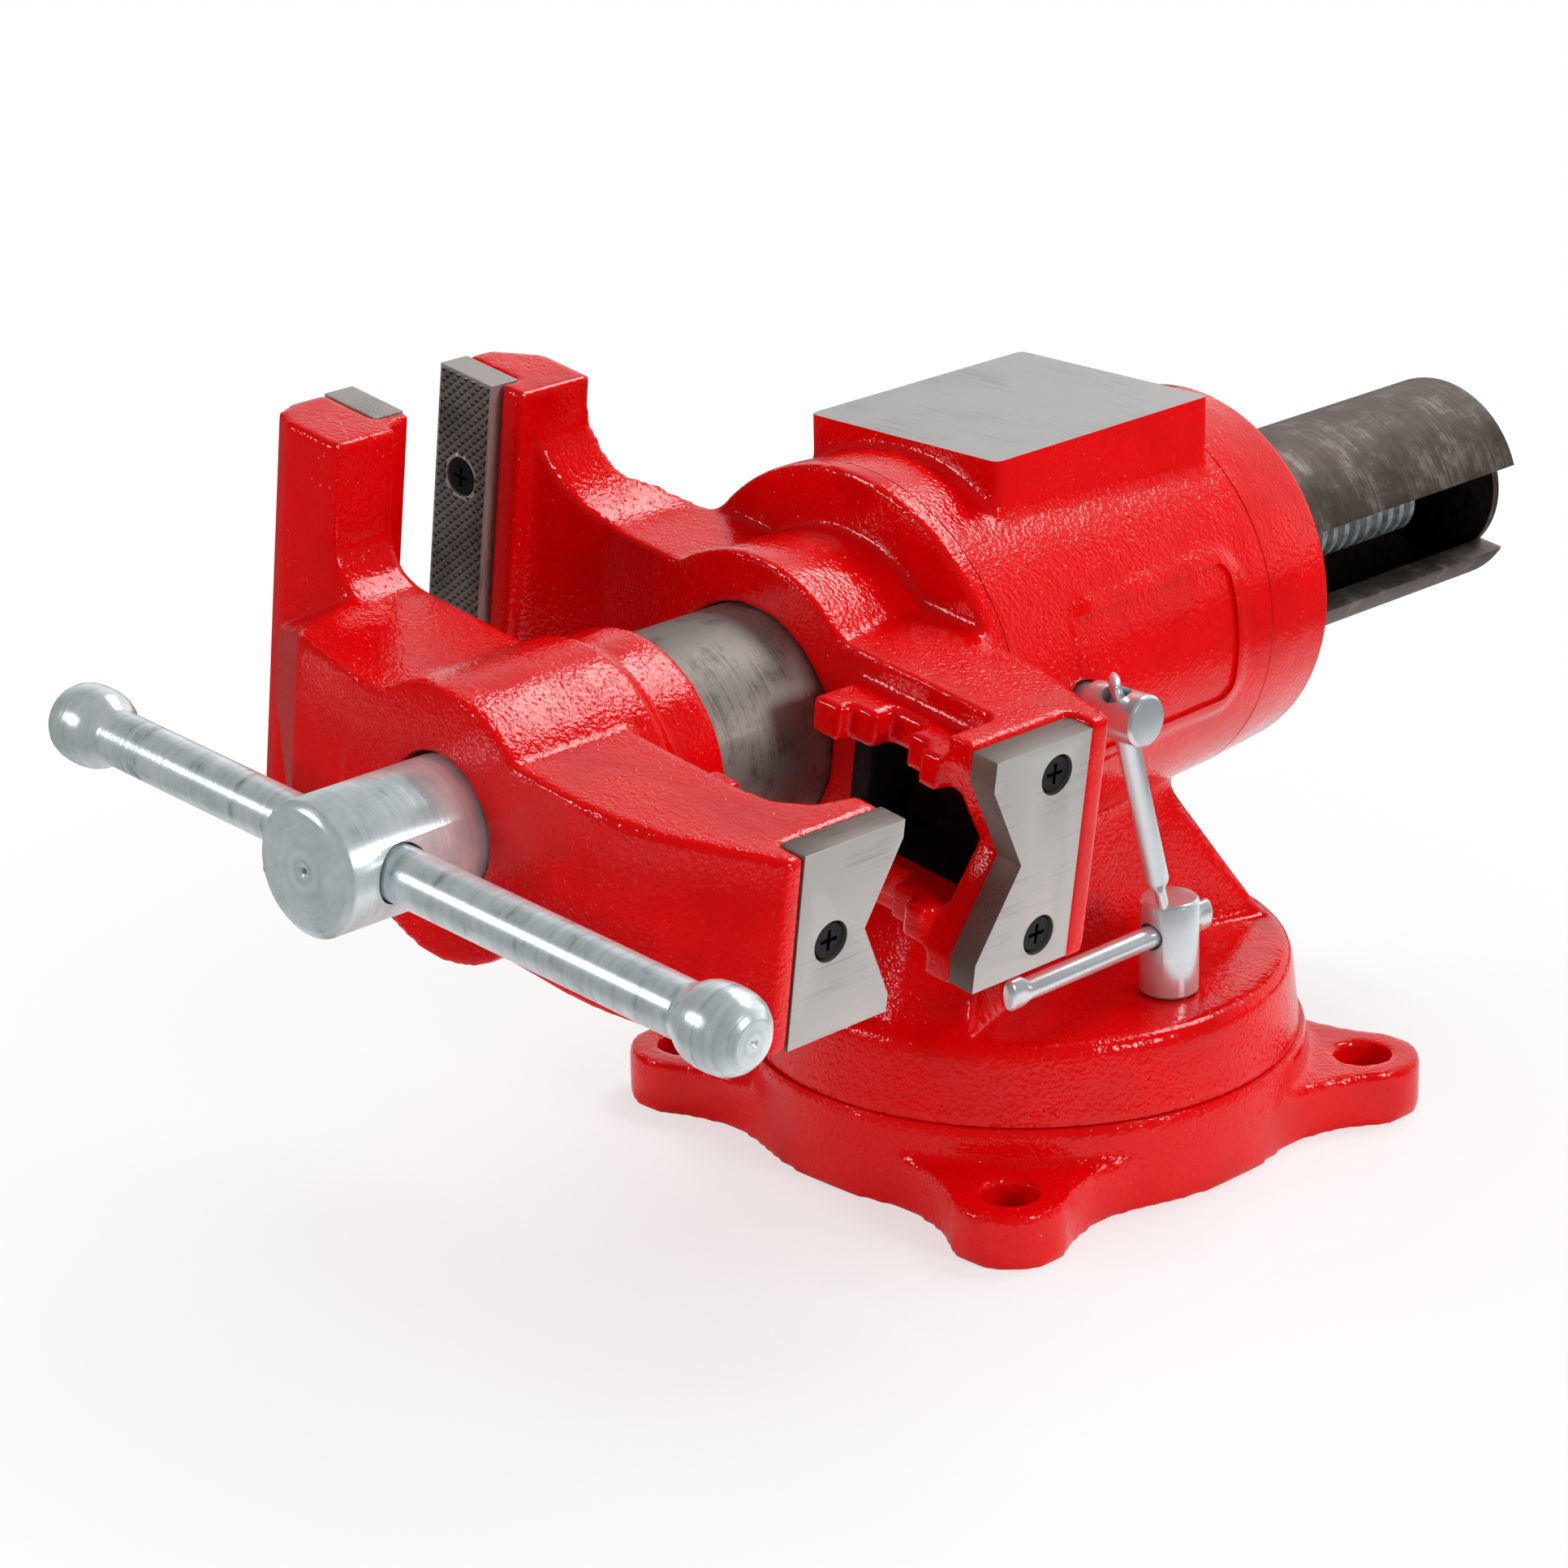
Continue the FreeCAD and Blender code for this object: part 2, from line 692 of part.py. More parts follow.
def moving_v_arm():
    outline = [
        (0.0, moving_hub_front),
    ] + moving_v_arm_front + [
        (v_face, moving_v_lip),
        (v_face, moving_v_front),
        (v_seat, moving_v_front),
        (v_seat, moving_v_rear),
        (v_wall, moving_v_rear),
    ] + moving_v_arm_bend + [
        (0.0, moving_v_arm_rear),
    ]
    arm = prism(outline, "xy", -moving_v_arm_half, moving_v_arm_half)
    teeth = tooth_block(fixed_teeth, moving_tooth_line, moving_tooth_line - overlap, -1)
    upper = prism(teeth, "xy", moving_tooth_bottom, moving_tooth_top)
    arm = join([arm, upper, mirrored_z(upper)])
    notch = notch_cutter(moving_v_rear, moving_v_notch, moving_v_half, moving_v_flat_end,
                         v_wall - 2 * overlap, v_seat + overlap, notch_relief)
    return arm.cut(notch)


def moving_jaw():
    hub = cylinder(moving_hub_radius, moving_hub_front, moving_ring_front, "y")
    ring = cylinder(moving_ring_radius, moving_ring_front, moving_hub_rear, "y")
    jaw = join([hub, ring, moving_spine(), moving_flat_arm(), moving_v_arm()])
    jaw = jaw.cut(cylinder(tube_radius, tube_front, moving_hub_rear + overlap, "y"))
    jaw = jaw.cut(cylinder(screw_radius + running_gap, moving_hub_front, tube_front + overlap, "y"))
    jaw = jaw.cut(cylinder(head_recess_radius, moving_hub_front - overlap, head_recess_floor, "y"))
    for x, z in fixed_flat_positions():
        bore_end = moving_flat_seat - flat_thread
        jaw = jaw.cut(cylinder(jaw_screw_radius, bore_end, moving_flat_seat + overlap, "y", (x, z)))
    for y, z in moving_v_positions():
        jaw = jaw.cut(cylinder(jaw_screw_radius, v_seat - v_thread, v_seat + overlap, "x", (y, z)))
    return on_head(jaw)


# jaw plates

def flat_plate(seat, face):
    low, high = sorted((seat, face))
    outward = 1 if face > seat else -1
    plate = box((flat_outer, flat_inner), (low, high), (-flat_half_width, flat_half_width))
    for x, z in fixed_flat_positions():
        plate = plate.cut(cylinder(jaw_screw_radius, low - overlap, high + overlap, "y", (x, z)))
        start, end = sorted((face - outward * jaw_screw_recess_depth, face + outward * overlap))
        plate = plate.cut(cylinder(jaw_screw_recess_radius, start, end, "y", (x, z)))
    return on_head(plate)


def flat_plate_fixed():
    return flat_plate(fixed_flat_seat, fixed_flat_face)


def flat_plate_moving():
    return flat_plate(moving_flat_seat, moving_flat_face)


def v_plate(tip, back, notch, half, flat_end, positions):
    plate = box((v_seat, v_face), (tip, back), (-half, half))
    plate = plate.cut(notch_cutter(tip, notch, half, flat_end, v_seat - overlap, v_face + overlap, 0.0))
    for y, z in positions:
        plate = plate.cut(cylinder(jaw_screw_radius, v_seat - overlap, v_face + overlap, "x", (y, z)))
        plate = plate.cut(cylinder(jaw_screw_recess_radius, v_face - jaw_screw_recess_depth, v_face + overlap,
                                   "x", (y, z)))
    return on_head(plate)


def v_plate_fixed():
    return v_plate(fixed_v_front, fixed_v_rear, fixed_v_notch, fixed_v_half, v_flat_end, fixed_v_positions())


def v_plate_moving():
    return v_plate(moving_v_rear, moving_v_front, moving_v_notch, moving_v_half, moving_v_flat_end,
                   moving_v_positions())


# fasteners of the plates

def jaw_screw():
    # head top at z = 0, pointing down
    head = cylinder(jaw_screw_head_radius, -jaw_screw_head_height, 0, "z")
    head = head.makeChamfer(0.5, circular_edges(head, jaw_screw_head_radius, 0, "z"))
    shank = cylinder(jaw_screw_radius, -jaw_screw_length, -jaw_screw_head_height + 0.5, "z")
    screw = join([head, shank])
    for size_x, size_y in ((drive_length, drive_width), (drive_width, drive_length)):
        slot = box((-size_x / 2, size_x / 2), (-size_y / 2, size_y / 2), (-drive_depth, overlap))
        screw = screw.cut(slot)
    return screw


def screws_at(places, face, outward, axis):
    solids = []
    for first, second in places:
        screw = jaw_screw()
        if axis == "x":
            screw.rotate(vec(0, 0, 0), vec(0, 1, 0), 90)
            screw.translate(vec(face - head_sink, first, second))
        else:
            screw.rotate(vec(0, 0, 0), vec(1, 0, 0), -90 * outward)
            screw.translate(vec(first, face - outward * head_sink, second))
        solids.append(screw)
    return on_head(Part.makeCompound(solids))


def flat_screws_fixed():
    return screws_at(fixed_flat_positions(), fixed_flat_face, -1, "y")


def flat_screws_moving():
    return screws_at(fixed_flat_positions(), moving_flat_face, 1, "y")


def v_screws_fixed():
    return screws_at(fixed_v_positions(), v_face, 1, "x")


def v_screw_moving():
    return screws_at(moving_v_positions(), v_face, 1, "x")


# screw and its bar

def lead_screw():
    screw = turned([
        (head_front, head_radius - head_chamfer),
        (head_front + head_chamfer, head_radius),
        (head_rear, head_radius),
        (head_rear, screw_radius),
        (screw_rear - screw_end_chamfer, screw_radius),
        (screw_rear, screw_radius - screw_end_chamfer),
    ])
    screw = screw.cut(cylinder(bar_hole_radius, -2 * head_radius, 2 * head_radius, "x", (bar_y, 0)))
    middle = (collar_front + collar_rear) / 2
    screw = screw.cut(cylinder(collar_pin_radius, -2 * head_radius, 2 * head_radius, "x", (middle, 0)))
    return on_bar(screw)


def screw_washer():
    start = head_recess_floor - thrust_washer_thickness
    ring = cylinder(head_radius, start, head_recess_floor, "y")
    return on_bar(ring.cut(cylinder(screw_radius, start - overlap, head_recess_floor + overlap, "y")))


def screw_collar():
    ring = cylinder(collar_radius, collar_front, collar_rear, "y")
    ring = ring.cut(cylinder(screw_radius, collar_front - overlap, collar_rear + overlap, "y"))
    middle = (collar_front + collar_rear) / 2
    reach = 2 * collar_radius
    return on_bar(ring.cut(cylinder(collar_pin_radius, -reach, reach, "x", (middle, 0))))


def collar_pin():
    middle = (collar_front + collar_rear) / 2
    return on_bar(cylinder(collar_pin_radius, -collar_radius, collar_radius, "x", (middle, 0)))


def tommy_bar():
    start = bar_ball_centres[0] - bar_socket_depth / 2
    end = bar_ball_centres[1] + bar_socket_depth / 2
    return on_bar(cylinder(bar_radius, start, end, "x", (bar_y, 0)))


def bar_balls():
    balls = []
    for centre, sign in ((bar_ball_centres[0], -1), (bar_ball_centres[1], 1)):
        ball = Part.makeSphere(ball_radius, vec(centre, bar_y, 0))
        outer = centre + sign * ball_flat
        start, end = sorted((outer, outer + sign * ball_radius))
        ball = ball.cut(box((start, end), (bar_y - 2 * ball_radius, bar_y + 2 * ball_radius),
                            (-2 * ball_radius, 2 * ball_radius)))
        socket_end = centre + sign * bar_socket_depth / 2
        start, end = sorted((centre - sign * 2 * ball_radius, socket_end))
        balls.append(ball.cut(cylinder(bar_radius, start, end, "x", (bar_y, 0))))
    return on_bar(Part.makeCompound(balls))


nodes = [
    base_plate, swivel_bolt, swivel_washer, swivel_body,
    base_lock_stud, base_lock_nut, base_lock_bar,
    head_lock_screw, head_lock_bar, head_lock_pad,
    rotating_head, rear_cap, screw_nut,
    slide_tube, tube_end_disc, moving_jaw,
    flat_plate_fixed, flat_plate_moving, v_plate_fixed, v_plate_moving,
    flat_screws_fixed, flat_screws_moving, v_screws_fixed, v_screw_moving,
    lead_screw, screw_washer, screw_collar, collar_pin, tommy_bar, bar_balls,
]

os.makedirs("parts", exist_ok=True)
for make in nodes:
    shape = make()
    shape.exportStep("parts/" + make.__name__ + ".step")
    print(make.__name__, len(shape.Solids), "solid", round(shape.Volume / 1000.0, 1), "cm3", shape.isValid())
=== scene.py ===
import bpy
import bmesh
from math import cos, pi, radians, sin
from mathutils import Matrix, Vector


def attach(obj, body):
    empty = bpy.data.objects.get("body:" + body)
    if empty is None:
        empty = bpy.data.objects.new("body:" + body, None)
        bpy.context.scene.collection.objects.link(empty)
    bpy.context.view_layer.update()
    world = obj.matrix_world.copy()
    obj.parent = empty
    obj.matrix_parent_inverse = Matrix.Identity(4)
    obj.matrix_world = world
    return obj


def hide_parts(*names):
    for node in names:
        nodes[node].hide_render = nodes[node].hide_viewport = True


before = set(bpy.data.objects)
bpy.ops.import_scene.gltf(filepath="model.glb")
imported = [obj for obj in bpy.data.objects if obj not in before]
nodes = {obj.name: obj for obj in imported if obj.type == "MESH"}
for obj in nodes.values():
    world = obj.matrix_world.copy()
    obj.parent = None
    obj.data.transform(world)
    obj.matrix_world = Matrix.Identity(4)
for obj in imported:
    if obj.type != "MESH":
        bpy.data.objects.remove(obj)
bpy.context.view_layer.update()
scene = bpy.context.scene
mm = 0.001
# how near counts as touching, in m: points of a solid, the seam of a turned shape, a cutting plane
nearness = {"point": 0.00001, "seam": 0.000002, "plane": 0.000001}
# between two faces, in degrees: still flat, an edge to break, and sharp in the shading of castings and knurl
faceAngles = {"flat": 1, "edge": 30, "cast": 38, "knurl": 25}
print("frame loaded")

# the head is turned a little about the screw, and the bar a little less; lengths in mm, turns in degrees
screwAxis = {"height": 142.0, "headTurn": 8.04, "barTurn": 4.07, "barAt": -235.3}
lockPlaces = {"base": (54.0, 0.0, 66.5), "head": (70.0, -38.0, 142.0)}
lift = Matrix.Translation((0, 0, screwAxis["height"] * mm))
headPlace = lift @ Matrix.Rotation(radians(screwAxis["headTurn"]), 4, "Y")
barPlace = lift @ Matrix.Rotation(radians(screwAxis["barTurn"]), 4, "Y")


# camera, at the photograph's place
photoCamera = {"azimuth": 45.7071, "elevation": 20.4712, "roll": -1.16, "distance": 1369.452,
               "right": -67.347, "up": 88.656, "lens": 111.286}


def placeCamera():
    azimuth = radians(photoCamera["azimuth"])
    elevation = radians(photoCamera["elevation"])
    back = Vector((sin(azimuth) * cos(elevation), -cos(azimuth) * cos(elevation), sin(elevation)))
    right = Vector((cos(azimuth), sin(azimuth), 0))
    up = back.cross(right)
    roll = radians(photoCamera["roll"])
    tiltedRight = right * cos(roll) + up * sin(roll)
    tiltedUp = up * cos(roll) - right * sin(roll)
    data = bpy.data.cameras.new("photoCamera")
    data.lens = photoCamera["lens"]
    data.sensor_width = 36
    data.clip_start = 0.05
    data.clip_end = 60
    camera = bpy.data.objects.new("photoCamera", data)
    scene.collection.objects.link(camera)
    turn = Matrix((tiltedRight, tiltedUp, back)).transposed()
    aside = tiltedRight * photoCamera["right"] + tiltedUp * photoCamera["up"]
    place = back * photoCamera["distance"] + aside
    camera.matrix_world = Matrix.Translation(place * mm) @ turn.to_4x4()
    scene.camera = camera


placeCamera()
print("camera placed")


# materials

def hexColour(text):
    # sRGB hex to the linear colour that Blender wants
    channels = [int(text[i:i + 2], 16) / 255 for i in (1, 3, 5)]
    return [c / 12.92 if c <= 0.04045 else ((c + 0.055) / 1.055) ** 2.4 for c in channels] + [1.0]


def addNode(tree, kind, settings=None, links=None):
    # settings go to inputs where an input has that name or number, otherwise to the node
    node = tree.nodes.new(kind)
    for key, value in (settings or {}).items():
        if isinstance(key, int) or key in node.inputs:
            node.inputs[key].default_value = value
        else:
            setattr(node, key, value)
    for key, source in (links or {}).items():
        tree.links.new(source, node.inputs[key])
    return node


def startMaterial(name, metallic=0.0, roughness=0.5):
    material = bpy.data.materials.new(name)
    material.use_nodes = True
    tree = material.node_tree
    shader = tree.nodes["Principled BSDF"]
    shader.inputs["Metallic"].default_value = metallic
    shader.inputs["Roughness"].default_value = roughness
    where = addNode(tree, "ShaderNodeTexCoord").outputs["Object"]
    return material, tree, shader, where


def turnedBack(tree, where, place):
    # coordinates in the frame that the part was drawn in
    return addNode(tree, "ShaderNodeMapping", {"vector_type": "TEXTURE", "Location": place.translation,
                                               "Rotation": place.to_euler()}, {"Vector": where}).outputs[0]


def addNoise(tree, vector, scale, detail, roughness=0.5):
    # scale is in grains per metre
    return addNode(tree, "ShaderNodeTexNoise", {"Scale": scale, "Detail": detail, "Roughness": roughness},
                   {"Vector": vector}).outputs[0]


def spread(tree, source, low, high, toLow, toHigh):
    # one range of a value to another, held at both ends
    return addNode(tree, "ShaderNodeMapRange", {1: low, 2: high, 3: toLow, 4: toHigh}, {0: source}).outputs[0]


def multiply(tree, source, other):
    return addNode(tree, "ShaderNodeMath", {"operation": "MULTIPLY"}, {0: source, 1: other}).outputs[0]


def addShare(tree, source, share, other):
    # the given share of the source on top of the other
    return addNode(tree, "ShaderNodeMath", {"operation": "MULTIPLY_ADD", 1: share},
                   {0: source, 2: other}).outputs[0]


def ramp(tree, source, stops):
    # colour ramp, its stops as (place, hex)
    node = addNode(tree, "ShaderNodeValToRGB", links={"Fac": source})
    bar = node.color_ramp
    while len(bar.elements) < len(stops):
        bar.elements.new(0.5)
    for element, (place, colour) in zip(bar.elements, stops):
        element.position = place
        element.color = hexColour(colour)
    return node.outputs["Color"]


def addBump(tree, shader, height, strength, depth):
    # depth in mm
    bump = addNode(tree, "ShaderNodeBump", {"Strength": strength, "Distance": depth * mm}, {"Height": height})
    tree.links.new(bump.outputs[0], shader.inputs["Normal"])


def redEnamelOnCastIron():
    # glossy enamel over sand-cast iron: fine sand grain shows through, with small pits; grains in mm
    coat = {"red": "#e60407", "deep": "#d50406", "soot": "#3c0a0a", "grain": 1.25, "flow": 7.0, "pits": 2.4}
    material, tree, shader, where = startMaterial("redEnamelOnCastIron", roughness=0.1)
    patches = addNoise(tree, where, 30.0, 4.0)
    red = ramp(tree, patches, [(0.32, coat["deep"]), (0.52, coat["red"])])
    dust = spread(tree, addNoise(tree, where, 300.0, 4.0, 0.65), 0.68, 0.76, 0.0, 0.75)
    colour = addNode(tree, "ShaderNodeMix", {"data_type": "RGBA", 7: hexColour(coat["soot"])},
                     {0: dust, 6: red})
    tree.links.new(colour.outputs[2], shader.inputs["Base Color"])
    grain = addNoise(tree, where, 1000 / coat["grain"], 1.5)
    cells = addNode(tree, "ShaderNodeTexVoronoi", {"Scale": 1000 / coat["pits"], "Randomness": 1.0},
                    {"Vector": where})
    pits = spread(tree, cells.outputs["Distance"], 0.0, 0.22, -0.8, 0.0)
    flow = addNoise(tree, where, 1000 / coat["flow"], 1.0)
    calm = spread(tree, patches, 0.4, 0.58, 0.3, 1.0)
    height = addShare(tree, flow, 0.55, multiply(tree, addShare(tree, grain, 1.0, pits), calm))
    addBump(tree, shader, height, 1.0, 0.33)
    shader.inputs["Specular IOR Level"].default_value = 0.36
    return material


def groundToolSteel(name, colour, dark, along):
    # surface-ground steel: fine parallel scratches, a few faint smudges
    material, tree, shader, where = startMaterial(name, 0.65, 0.52)
    stretch = [2200.0, 2200.0, 2200.0]
    stretch[along] = 40.0
    run = addNode(tree, "ShaderNodeMapping", {"Scale": stretch}, {"Vector": where}).outputs[0]
    lines = addNoise(tree, run, 1.0, 3.0)
    tone = addShare(tree, lines, 1.2, addNoise(tree, where, 40.0, 3.0))
    tree.links.new(ramp(tree, tone, [(0.8, dark), (1.0, colour)]), shader.inputs["Base Color"])
    addBump(tree, shader, lines, 0.4, 0.06)
    return material


def brightZincPlate(name, place, along, haze, metallic):
    # bluish zinc with a light haze over turned steel: fine tool marks and wider rings run round the axis
    material, tree, shader, where = startMaterial(name, metallic)
    parts = addNode(tree, "ShaderNodeSeparateXYZ", links={0: turnedBack(tree, where, place)})
    across = [parts.outputs[i] for i in range(3) if i != along]
    flat = addNode(tree, "ShaderNodeCombineXYZ", links={0: across[0], 1: across[1]})
    radius = addNode(tree, "ShaderNodeVectorMath", {"operation": "LENGTH"}, {0: flat.outputs[0]})
    marks = addNode(tree, "ShaderNodeCombineXYZ",
                    links={0: parts.outputs[along], 1: radius.outputs["Value"]}).outputs[0]
    fine = addNoise(tree, marks, 3600.0, 2.0)
    rings = addNoise(tree, marks, 620.0, 3.0)
    mixed = addShare(tree, rings, 0.6, addNoise(tree, where, 110.0, 6.0, 0.65))
    # the less haze, the nearer all of it keeps to one tone
    tone = 0.8
    hazy = addNode(tree, "ShaderNodeMath", {"operation": "MULTIPLY_ADD", 1: haze, 2: tone * (1 - haze)},
                   {0: mixed}).outputs[0]
    shade = ramp(tree, hazy, [(0.6, "#8c999d"), (0.73, "#d4e1e5"), (0.9, "#f2fbfd")])
    tree.links.new(shade, shader.inputs["Base Color"])
    tree.links.new(spread(tree, hazy, 0.6, 0.9, 0.3, 0.22), shader.inputs["Roughness"])
    addBump(tree, shader, addShare(tree, rings, 2.0, fine), 0.5, 0.1 * haze)
    return material


def darkTurnedTube():
    # turned steel tube gone dark with oil and handling: brown-grey, fine marks run round it
    material, tree, shader, where = startMaterial("darkTurnedTube", 0.8)
    own = turnedBack(tree, where, headPlace)
    rings = addNode(tree, "ShaderNodeMapping", {"Scale": (60.0, 1800.0, 60.0)}, {"Vector": own}).outputs[0]
    turned = addNoise(tree, rings, 1.0, 3.0)
    oil = addNoise(tree, where, 85.0, 6.0, 0.72)
    # painted highlight: lighter between the jaws; darker and browner towards the rear
    along = addNode(tree, "ShaderNodeSeparateXYZ", links={0: own}).outputs[1]
    paintedFrontHighlight = spread(tree, along, -0.09, 0.06, 0.3, 0.05)
    tone = addShare(tree, addShare(tree, turned, 0.4, oil), 1.0, paintedFrontHighlight)
    shade = ramp(tree, tone, [(0.55, "#433932"), (0.78, "#5d534b"), (1.0, "#938c86")])
    tree.links.new(shade, shader.inputs["Base Color"])
    tree.links.new(spread(tree, oil, 0.35, 0.65, 0.46, 0.6), shader.inputs["Roughness"])
    addBump(tree, shader, turned, 0.5, 0.06)
    return material


def plainFinish(name, colour, dark, metallic, roughness, grain):
    # one colour with a faint mottle of the given grain in mm
    material, tree, shader, where = startMaterial(name, metallic, roughness)
    mottle = addNoise(tree, where, 1000 / grain, 4.0)
    tree.links.new(ramp(tree, mottle, [(0.35, dark), (0.6, colour)]), shader.inputs["Base Color"])
    addBump(tree, shader, mottle, 0.25, 0.05)
    return material


barMiddle = barPlace @ Matrix.Translation((0, screwAxis["barAt"] * mm, 0))
baseLockMiddle = Matrix.Translation((lockPlaces["base"][0] * mm, 0, 0))
enamel = redEnamelOnCastIron()
groundSteel = groundToolSteel("groundSteelInsert", "#cfccc9", "#b8b5b1", 1)
# the sawn sides of the V plates: a duller, darker steel, its darkness partly painted shade
sawnSteelPaintedShade = groundToolSteel("sawnInsertSidePaintedShade", "#79716a", "#5a524b", 1)
anvilSteel = groundToolSteel("milledAnvilIron", "#b4b3b1", "#9b9997", 0)
serratedSteel = groundToolSteel("serratedJawSteel", "#b3ada8", "#928b85", 2)
tubeSteel = darkTurnedTube()
screwZinc = brightZincPlate("zincOnScrew", barPlace, 1, haze=0.6, metallic=0.45)
barZinc = brightZincPlate("zincOnBar", barMiddle, 0, haze=0.7, metallic=0.5)
lockZinc = brightZincPlate("zincOnLocks", baseLockMiddle, 2, haze=0.15, metallic=0.7)
# painted shade: the downward sides of the knurl's teeth get a dark steel
knurlPaintedShade = plainFinish("knurlPaintedShadeSteel", "#4a433d", "#332d29", 0.7, 0.5, 9.0)
# painted light: the upward sides of the knurl's teeth get a lighter steel, as if lit from above
knurlPaintedLight = plainFinish("knurlPaintedLightSteel", "#a9a199", "#8b837b", 0.8, 0.4, 9.0)
# near-black iron: painted shade in the pipe jaw's pocket
pocketPaintedShade = plainFinish("pocketPaintedShadeIron", "#1d1817", "#120e0e", 0.2, 0.7, 1.6)
# painted shade in the tube's bore: near-black steel
borePaintedShade = plainFinish("borePaintedShadeSteel", "#26211f", "#171312", 0.6, 0.5, 3.0)
# dull blackened steel
blackOxide = plainFinish("blackOxideScrew", "#26262a", "#151517", 0.7, 0.42, 1.2)
# zinc on the thread, worn and oiled
threadZinc = plainFinish("oiledThreadZinc", "#c6cfd1", "#8f9799", 0.55, 0.26, 3.0)
# grey cast iron, oiled
rawIron = plainFinish("machinedNutIron", "#6a6865", "#4c4a48", 1.0, 0.45, 2.0)
# brushed brass
padBrass = plainFinish("bareBrassPad", "#b08d4c", "#8f6f36", 1.0, 0.35, 2.0)
print("materials made")


# shaping

def fromCad(node, place=None):
    # the solid's loose triangles, merged, and brought back to the frame that it was drawn in
    shape = bmesh.new()
    shape.from_mesh(nodes[node].data)
    bmesh.ops.remove_doubles(shape, verts=shape.verts, dist=nearness["point"])
    if place:
        bmesh.ops.transform(shape, matrix=place.inverted(), verts=shape.verts)
    return shape


def addTurned(shape, profile, steps=160):
    # a closed outline of (along Y, radius) points in mm, turned about Y
    points = [shape.verts.new((radius * mm, along * mm, 0)) for along, radius in profile]
    edges = [shape.edges.new(pair) for pair in zip(points, points[1:] + points[:1])]
    before = set(shape.verts) - set(points)
    bmesh.ops.spin(shape, geom=points + edges, cent=(0, 0, 0), axis=(0, 1, 0), angle=2 * pi, steps=steps,
                   use_merge=True)
    made = [v for v in shape.verts if v not in before]
    bmesh.ops.remove_doubles(shape, verts=made, dist=nearness["seam"])
    return [v for v in made if v.is_valid]


def addRing(shape, start, end, inner, outer, steps=160):
    # start and end along Y, and the two radii
    return addTurned(shape, [(start, inner), (start, outer), (end, outer), (end, inner)], steps)


def turnUpright(shape, ring):
    # from about Y to about Z
    bmesh.ops.rotate(shape, verts=ring, cent=(0, 0, 0), matrix=Matrix.Rotation(radians(90), 3, "X"))


def liftToScrew(shape, ring):
    bmesh.ops.translate(shape, verts=ring, vec=(0, 0, screwAxis["height"] * mm))


def addBlock(shape, outline, low, high):
    # outline of (x, y) points in mm, drawn up along Z
    base = shape.faces.new([shape.verts.new(Vector((x, y, low)) * mm) for x, y in outline])
    drawn = bmesh.ops.extrude_face_region(shape, geom=[base], use_keep_orig=True)
    tops = [v for v in drawn["geom"] if isinstance(v, bmesh.types.BMVert)]
    bmesh.ops.translate(shape, verts=tops, vec=Vector((0, 0, high - low)) * mm)


def recast(shape, voxel, rounds):
    # one closed skin of small even faces, its edges softened as a sand mould leaves them
    bmesh.ops.recalc_face_normals(shape, faces=shape.faces)
    mesh = bpy.data.meshes.new("rough")
    shape.to_mesh(mesh)
    shape.free()
    rough = bpy.data.objects.new("rough", mesh)
    scene.collection.objects.link(rough)
    skin = rough.modifiers.new("skin", "REMESH")
    skin.mode = "VOXEL"
    skin.voxel_size = voxel * mm
    fresh = bmesh.new()
    fresh.from_object(rough, bpy.context.evaluated_depsgraph_get())
    bpy.data.objects.remove(rough)
    soften(fresh, fresh.verts, rounds)
    return fresh


def trueRim(shape, height, start, end, startRadius, endRadius):
    # puts the skin of a round part, near one of its rims, back on its true radius about the screw axis
    # reach is across and margin along the axis, in mm
    reach = 0.9
    margin = 0.05
    for vertex in shape.verts:
        along = vertex.co.y / mm
        if not start - margin <= along <= end + margin:
            continue
        across = Vector((vertex.co.x, 0, vertex.co.z - height * mm))
        radius = startRadius + (endRadius - startRadius) * (along - start) / (end - start)
        if abs(across.length / mm - radius) < reach:
            across.length = radius * mm
            vertex.co = Vector((across.x, vertex.co.y, across.z + height * mm))


def soften(shape, points, rounds):
    points = list(points)
    for i in range(rounds):
        bmesh.ops.smooth_vert(shape, verts=points, factor=0.5, use_axis_x=True, use_axis_y=True,
                              use_axis_z=True)


def cutAway(shape, place, direction):
    # everything beyond the plane goes
    bmesh.ops.bisect_plane(shape, geom=shape.verts[:] + shape.edges[:] + shape.faces[:],
                           dist=nearness["plane"], plane_co=Vector(place) * mm, plane_no=direction,
                           clear_outer=True)


def faceOff(shape, place, direction, slot=0):
    # a machined flat: cut away and closed again
    cutAway(shape, place, direction)
    rim = [e for e in shape.edges if e.is_boundary]
    filled = bmesh.ops.triangle_fill(shape, edges=rim, use_beauty=True, normal=direction)
    for face in filled["geom"]:
        if isinstance(face, bmesh.types.BMFace):
            face.material_index = slot


def toPiece(shape, name, body, materials, place=None, sharp=faceAngles["cast"], fixNormals=False):
    if place:
        bmesh.ops.transform(shape, matrix=place, verts=shape.verts)
    if fixNormals:
        bmesh.ops.recalc_face_normals(shape, faces=shape.faces)
    mesh = bpy.data.meshes.new(name)
    shape.to_mesh(mesh)
    shape.free()
    for material in materials:
        mesh.materials.append(material)
    mesh.shade_smooth()
    mesh.set_sharp_from_angle(angle=radians(sharp))
    piece = bpy.data.objects.new(name, mesh)
    scene.collection.objects.link(piece)
    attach(piece, body)
    return piece


